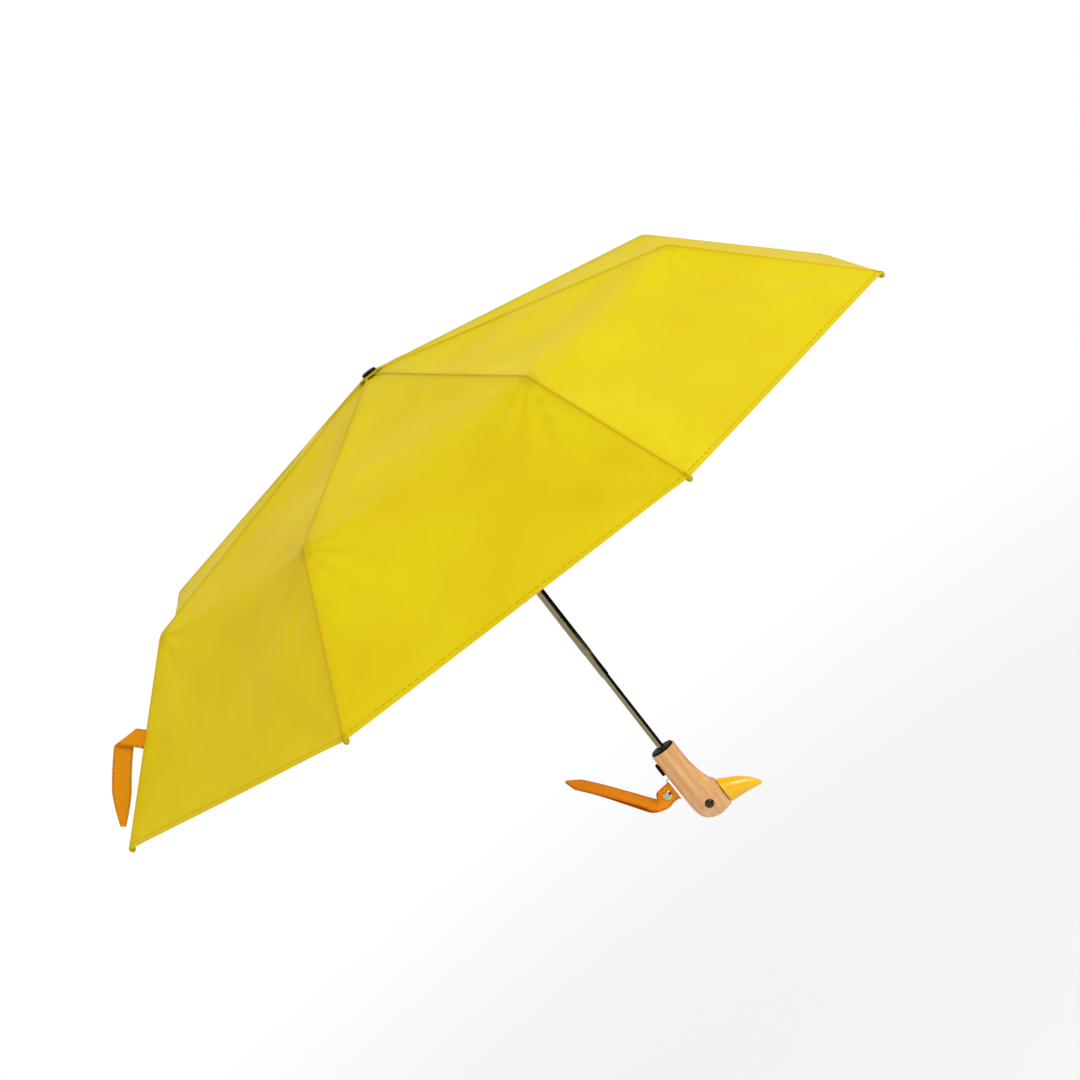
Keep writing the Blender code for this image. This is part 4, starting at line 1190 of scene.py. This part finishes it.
@dataclass
class TieBand:
    """The band sewn beside one tip, which wraps the folded umbrella. It hangs folded over on itself."""

    width: float = 17.5 * MM
    thickness: float = 0.8 * MM
    sewn: float = 12 * MM
    reach: float = 15.5 * MM
    hang: float = 88 * MM
    lean: float = math.radians(7.5)
    crease: float = 1.3 * MM
    up_rib: float = 106.5 * MM
    stand_off: float = 0.15 * MM
    step_round: float = 1 * MM
    point_from: float = 0.62
    point_loss: float = 0.72
    point_power: float = 1.4
    sway: float = 2.2 * MM
    canopy: Canopy = field(default_factory=Canopy)

    def place(self, run: float, across: float) -> tuple[float, float, float]:
        """Where a point of the band lies.

        Args:
            run: Its distance along the band from where it leaves the cloth, less than 0 where it is sewn down.
            across: Its distance from the band's middle line.

        Returns:
            How far out from the cloth it is, how far up the rib, and how far round towards the next rib.
        """
        share = max(0.0, run - self.reach) / self.hang
        pointed = max(0.0, share - self.point_from) ** self.point_power / (1 - self.point_from) ** self.point_power
        across *= 1 - self.point_loss * pointed
        if run < 0:
            return self.stand_off, across, self.step_round - run
        turn = math.pi / 2 + self.lean
        fold = (math.cos(turn / 2), -math.sin(turn / 2))  # along the crease, out and down
        square = (math.sin(turn / 2), math.cos(turn / 2))
        x, y = run - self.reach, across
        past = x * square[0] + y * square[1]
        along = x * fold[0] + y * fold[1]
        roll = math.pi * self.crease
        if past < 0:
            over, behind = past, 0.0
        elif past < roll:
            angle = past / self.crease
            over, behind = self.crease * math.sin(angle), self.crease * (1 - math.cos(angle))
        else:
            over, behind = roll - past, 2 * self.crease
        out = self.reach + along * fold[0] + over * square[0]
        up = along * fold[1] + over * square[1]
        out += self.sway * math.sin(math.pi * min(1.0, share)) + self.stand_off
        behind += self.step_round + 0.3 * max(0.0, out) + 6 * MM * share * share + 0.9 * MM * math.sin(5 * share)
        return out, up, behind

    def build(self) -> bpy.types.Object:
        """Build the band, riding on its outer rib."""
        slope, heading = self.canopy.outer_slope, self.canopy.first_heading
        out_level = Vector((math.cos(heading), math.sin(heading), 0))
        down = out_level * math.cos(slope) - Vector((0, 0, math.sin(slope)))
        outwards = out_level * math.sin(slope) + Vector((0, 0, math.cos(slope)))
        round_to = Vector((math.sin(heading), -math.cos(heading), 0))
        start = (out_level * self.canopy.tip_radius + Vector((0, 0, self.canopy.apex - self.canopy.tip_depth))
                 - down * self.up_rib)
        length = self.sewn + self.reach + self.hang
        lanes, steps = 14, 150
        bm = bmesh.new()
        uv = bm.loops.layers.uv.new("tape")
        where = {}
        for vert, column, row in grid_points(bm, lanes, steps):
            across = (column / lanes - 0.5) * self.width
            run = row / steps * length
            out, up, behind = self.place(run - self.sewn, across)
            vert.co = start + outwards * out - down * up + round_to * behind
            where[vert] = (column / lanes, run)
        for face in bm.faces:
            for loop in face.loops:
                loop[uv].uv = where[loop.vert]
        bmesh.ops.solidify(bm, geom=bm.faces[:], thickness=self.thickness)
        bmesh.ops.recalc_face_normals(bm, faces=bm.faces)
        step = 0.2 * MM
        for face in bm.faces:
            spots = [loop[uv].uv for loop in face.loops]
            run = sum(s.y for s in spots) / len(spots) - self.sewn
            across = (sum(s.x for s in spots) / len(spots) - 0.5) * self.width
            here, further, over = (
                Vector(self.place(run + a, across + b)) for a, b in ((0, 0), (step, 0), (0, step))
            )
            # Each face takes the side of the tape that it lies on, so the two sides change places at the fold.
            square = (further - here).cross(over - here)
            world = outwards * square.x - down * square.y + round_to * square.z
            face.material_index = 0 if face.normal.dot(world) < 0 else 1
        piece = add_piece("tie_strip", bm, TIE_TAPE)
        piece.data.materials.append(TIE_LINING.material())
        piece.data.set_sharp_from_angle(angle=math.radians(50))
        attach(piece, "outer_rib_1")
        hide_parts("tie_band")
        LOG.info("tie band: %.0f mm", length / MM)
        return piece


# ---------------------------------------------------------------- metalwork


@dataclass
class Springs:
    """The two coil springs."""

    opening_travel: float = 184 * MM
    button_travel: float = 0.9 * MM
    least_keep: float = 0.05

    def coil(self, node: str, name: str, body: str) -> None:
        """Stand a welded copy in for a coil of the frame.

        Args:
            node: The rigid coil.
            name: The new piece's name.
            body: What it rides on.
        """
        bm = bmesh.new()
        bm.from_mesh(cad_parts[node].data)
        bmesh.ops.remove_doubles(bm, verts=bm.verts, dist=0.002 * MM)
        piece = add_piece(name, bm, ROD_STEEL)
        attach(piece, body)
        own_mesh(piece)
        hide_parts(node)

    def build(self) -> None:
        """Build both springs."""
        self.coil("opening_spring", "opening_coil", "middle_shaft")
        self.coil("button_spring", "button_coil", "grip")
        LOG.info("springs: 2 pieces")


@dataclass
class Fittings:
    """The frame's own solids: their edges softened in the shading, and their finishes."""

    sharp: float = math.radians(32)
    finishes: tuple[tuple[str, Finish], ...] = (
        ("top_rib", RIB_METAL), ("middle_rib", RIB_METAL), ("stretcher", RIB_METAL), ("outer_rib", ROD_STEEL),
        ("lower_tube", TUBE_STEEL), ("middle_tube", TUBE_STEEL), ("upper_tube", TUBE_STEEL),
        ("strap_bail", SNAP_STEEL), ("strap_snap", SNAP_STEEL), ("eye", EYE_BLACK), ("handle_grip", BIRCH),
        ("beak", BEAK_LACQUER), ("", BLACK_NYLON),
    )

    def shading(self) -> bpy.types.NodeTree:
        """A modifier's tree that welds a solid's loose triangles and shades all but its sharp edges smooth."""
        tree = bpy.data.node_groups.new("soft_shading", "GeometryNodeTree")
        tree.interface.new_socket("Geometry", in_out="INPUT", socket_type="NodeSocketGeometry")
        tree.interface.new_socket("Geometry", in_out="OUTPUT", socket_type="NodeSocketGeometry")
        start = add_node(tree, "NodeGroupInput")
        plain = add_node(tree, "GeometryNodeRemoveAttribute", {"Name": "custom_normal"}, {0: start.outputs[0]})
        weld = add_node(tree, "GeometryNodeMergeByDistance", {"Distance": 0.002 * MM}, {0: plain.outputs[0]})
        smooth = add_node(
            tree, "GeometryNodeSetShadeSmooth", {"Shade Smooth": True}, {0: weld.outputs[0]}, domain="FACE"
        )
        angle = add_node(tree, "GeometryNodeInputMeshEdgeAngle")
        gentle = add_node(
            tree, "FunctionNodeCompare", {1: self.sharp}, {0: angle.outputs[0]}, data_type="FLOAT",
            operation="LESS_EQUAL",
        )
        edges = add_node(
            tree, "GeometryNodeSetShadeSmooth", links={0: smooth.outputs[0], "Shade Smooth": gentle.outputs[0]},
            domain="EDGE",
        )
        add_node(tree, "NodeGroupOutput", links={0: edges.outputs[0]})
        return tree

    def build(self) -> None:
        """Give every shown solid of the frame its finish and its shading."""
        tree = self.shading()
        count = 0
        for name, node in sorted(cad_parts.items()):
            finish = next(f for key, f in self.finishes if name.startswith(key))
            node.data.materials.clear()
            node.data.materials.append(finish.material())
            if node.hide_render:
                continue
            node.modifiers.new("soft_shading", "NODES").node_group = tree
            count += 1
        LOG.info("fittings: %d solids", count)


# ---------------------------------------------------------------- studio


@dataclass(frozen=True)
class Lamp:
    """A round area light, aimed at the middle of the canopy."""

    name: str
    place: tuple[float, float, float]
    power: float
    size: float
    colour: tuple[float, float, float]


@dataclass
class Studio:
    """The floor, the light and the camera."""

    camera_at: tuple[float, float, float] = (0.1592, -2.8414, 0.7122)
    right: tuple[float, float, float] = (0.79271, -0.05425, -0.60719)
    up: tuple[float, float, float] = (0.60800, 0.14256, 0.78103)
    lens: float = 95.15
    floor_drop: float = 1.05
    floor_size: float = 30.0
    flag_reach: float = 1.5
    flag_heights: tuple[float, float] = (-0.55, 0.28)
    flag_start: float = -72.0
    flag_sweep: float = 150.0
    flag_steps: int = 24
    aim: tuple[float, float, float] = (0.0, 0.0, 0.35)
    lamps: tuple[Lamp, ...] = (
        Lamp("key", (2.7, -1.9, 1.9), 70, 1.4, (0.93, 1.0, 0.9)),
        Lamp("fill", (-2.4, -2.2, 1.2), 3, 2.0, (1.0, 0.97, 0.92)),
    )

    def floor(self) -> None:
        """A wide pale floor, far enough below the umbrella to hold no hard shadow, that fades out into the surround."""
        bm = bmesh.new()
        bmesh.ops.create_grid(bm, x_segments=1, y_segments=1, size=self.floor_size)
        bmesh.ops.translate(bm, verts=bm.verts, vec=(0, 0, -self.floor_drop))
        paper = FadingPaper("matt_white_paper", "#E9E9E9", 0.95, sockets=(("Specular IOR Level", 0.0),))
        add_piece("studio_floor", bm, paper)

    def flag(self) -> None:
        """A dark curved flag beside the shaft, which only shows as the dark side in polished tubes."""
        bm = bmesh.new()
        reach, (low, high) = self.flag_reach, self.flag_heights
        for vert, column, row in grid_points(bm, self.flag_steps, 1):
            angle = math.radians(self.flag_start + self.flag_sweep * column / self.flag_steps)
            vert.co = (reach * math.cos(angle), reach * math.sin(angle), low + (high - low) * row)
        card = add_piece("studio_flag", bm, Finish("black_flock", "#020202", 1.0,
                                                   sockets=(("Specular IOR Level", 0.0),)))
        card.visible_camera = card.visible_diffuse = card.visible_shadow = False
        card.visible_transmission = card.visible_volume_scatter = False

    def light(self) -> None:
        """A white surround, a large key light from the front right and a weak fill from the left."""
        world = bpy.data.worlds.new("white_studio")
        world.use_nodes = True
        back = world.node_tree.nodes["Background"]
        back.inputs["Color"].default_value = (1, 1, 1, 1)
        back.inputs["Strength"].default_value = 1.0
        bpy.context.scene.world = world
        for lamp in self.lamps:
            light = bpy.data.lights.new(lamp.name, "AREA")
            light.energy, light.size, light.color = lamp.power, lamp.size, lamp.colour
            light.shape = "DISK"
            made = bpy.data.objects.new(lamp.name, light)
            made.location = lamp.place
            aim = Vector(self.aim) - Vector(lamp.place)
            made.rotation_euler = aim.to_track_quat("-Z", "Y").to_euler()
            bpy.context.scene.collection.objects.link(made)

    def camera(self) -> None:
        """The camera, level with the canopy and rolled so that the shaft leans."""
        lens = bpy.data.cameras.new("camera")
        lens.lens, lens.sensor_width = self.lens, 36.0
        lens.clip_end = 100
        made = bpy.data.objects.new("camera", lens)
        right, up = Vector(self.right).normalized(), Vector(self.up)
        up = (up - right * up.dot(right)).normalized()
        turn = Matrix((right, up, right.cross(up))).transposed().to_4x4()
        made.matrix_world = Matrix.Translation(self.camera_at) @ turn
        bpy.context.scene.collection.objects.link(made)
        bpy.context.scene.camera = made

    def build(self) -> None:
        """Set up the whole studio, with colours shown as they are."""
        self.floor()
        self.flag()
        self.light()
        self.camera()
        bpy.context.scene.view_settings.view_transform = "Standard"
        LOG.info("studio: floor, flag, %d lamps, camera", len(self.lamps))


def main() -> None:
    """Build every sub-assembly, then the studio."""
    logging.basicConfig(level=logging.INFO, format="%(name)s: %(message)s")
    canopy = Canopy()
    canopy.build()
    TieBand(canopy=canopy).build()
    WristStrap().build()
    Springs().build()
    Fittings().build()
    Studio().build()


if __name__ == "__main__":
    main()
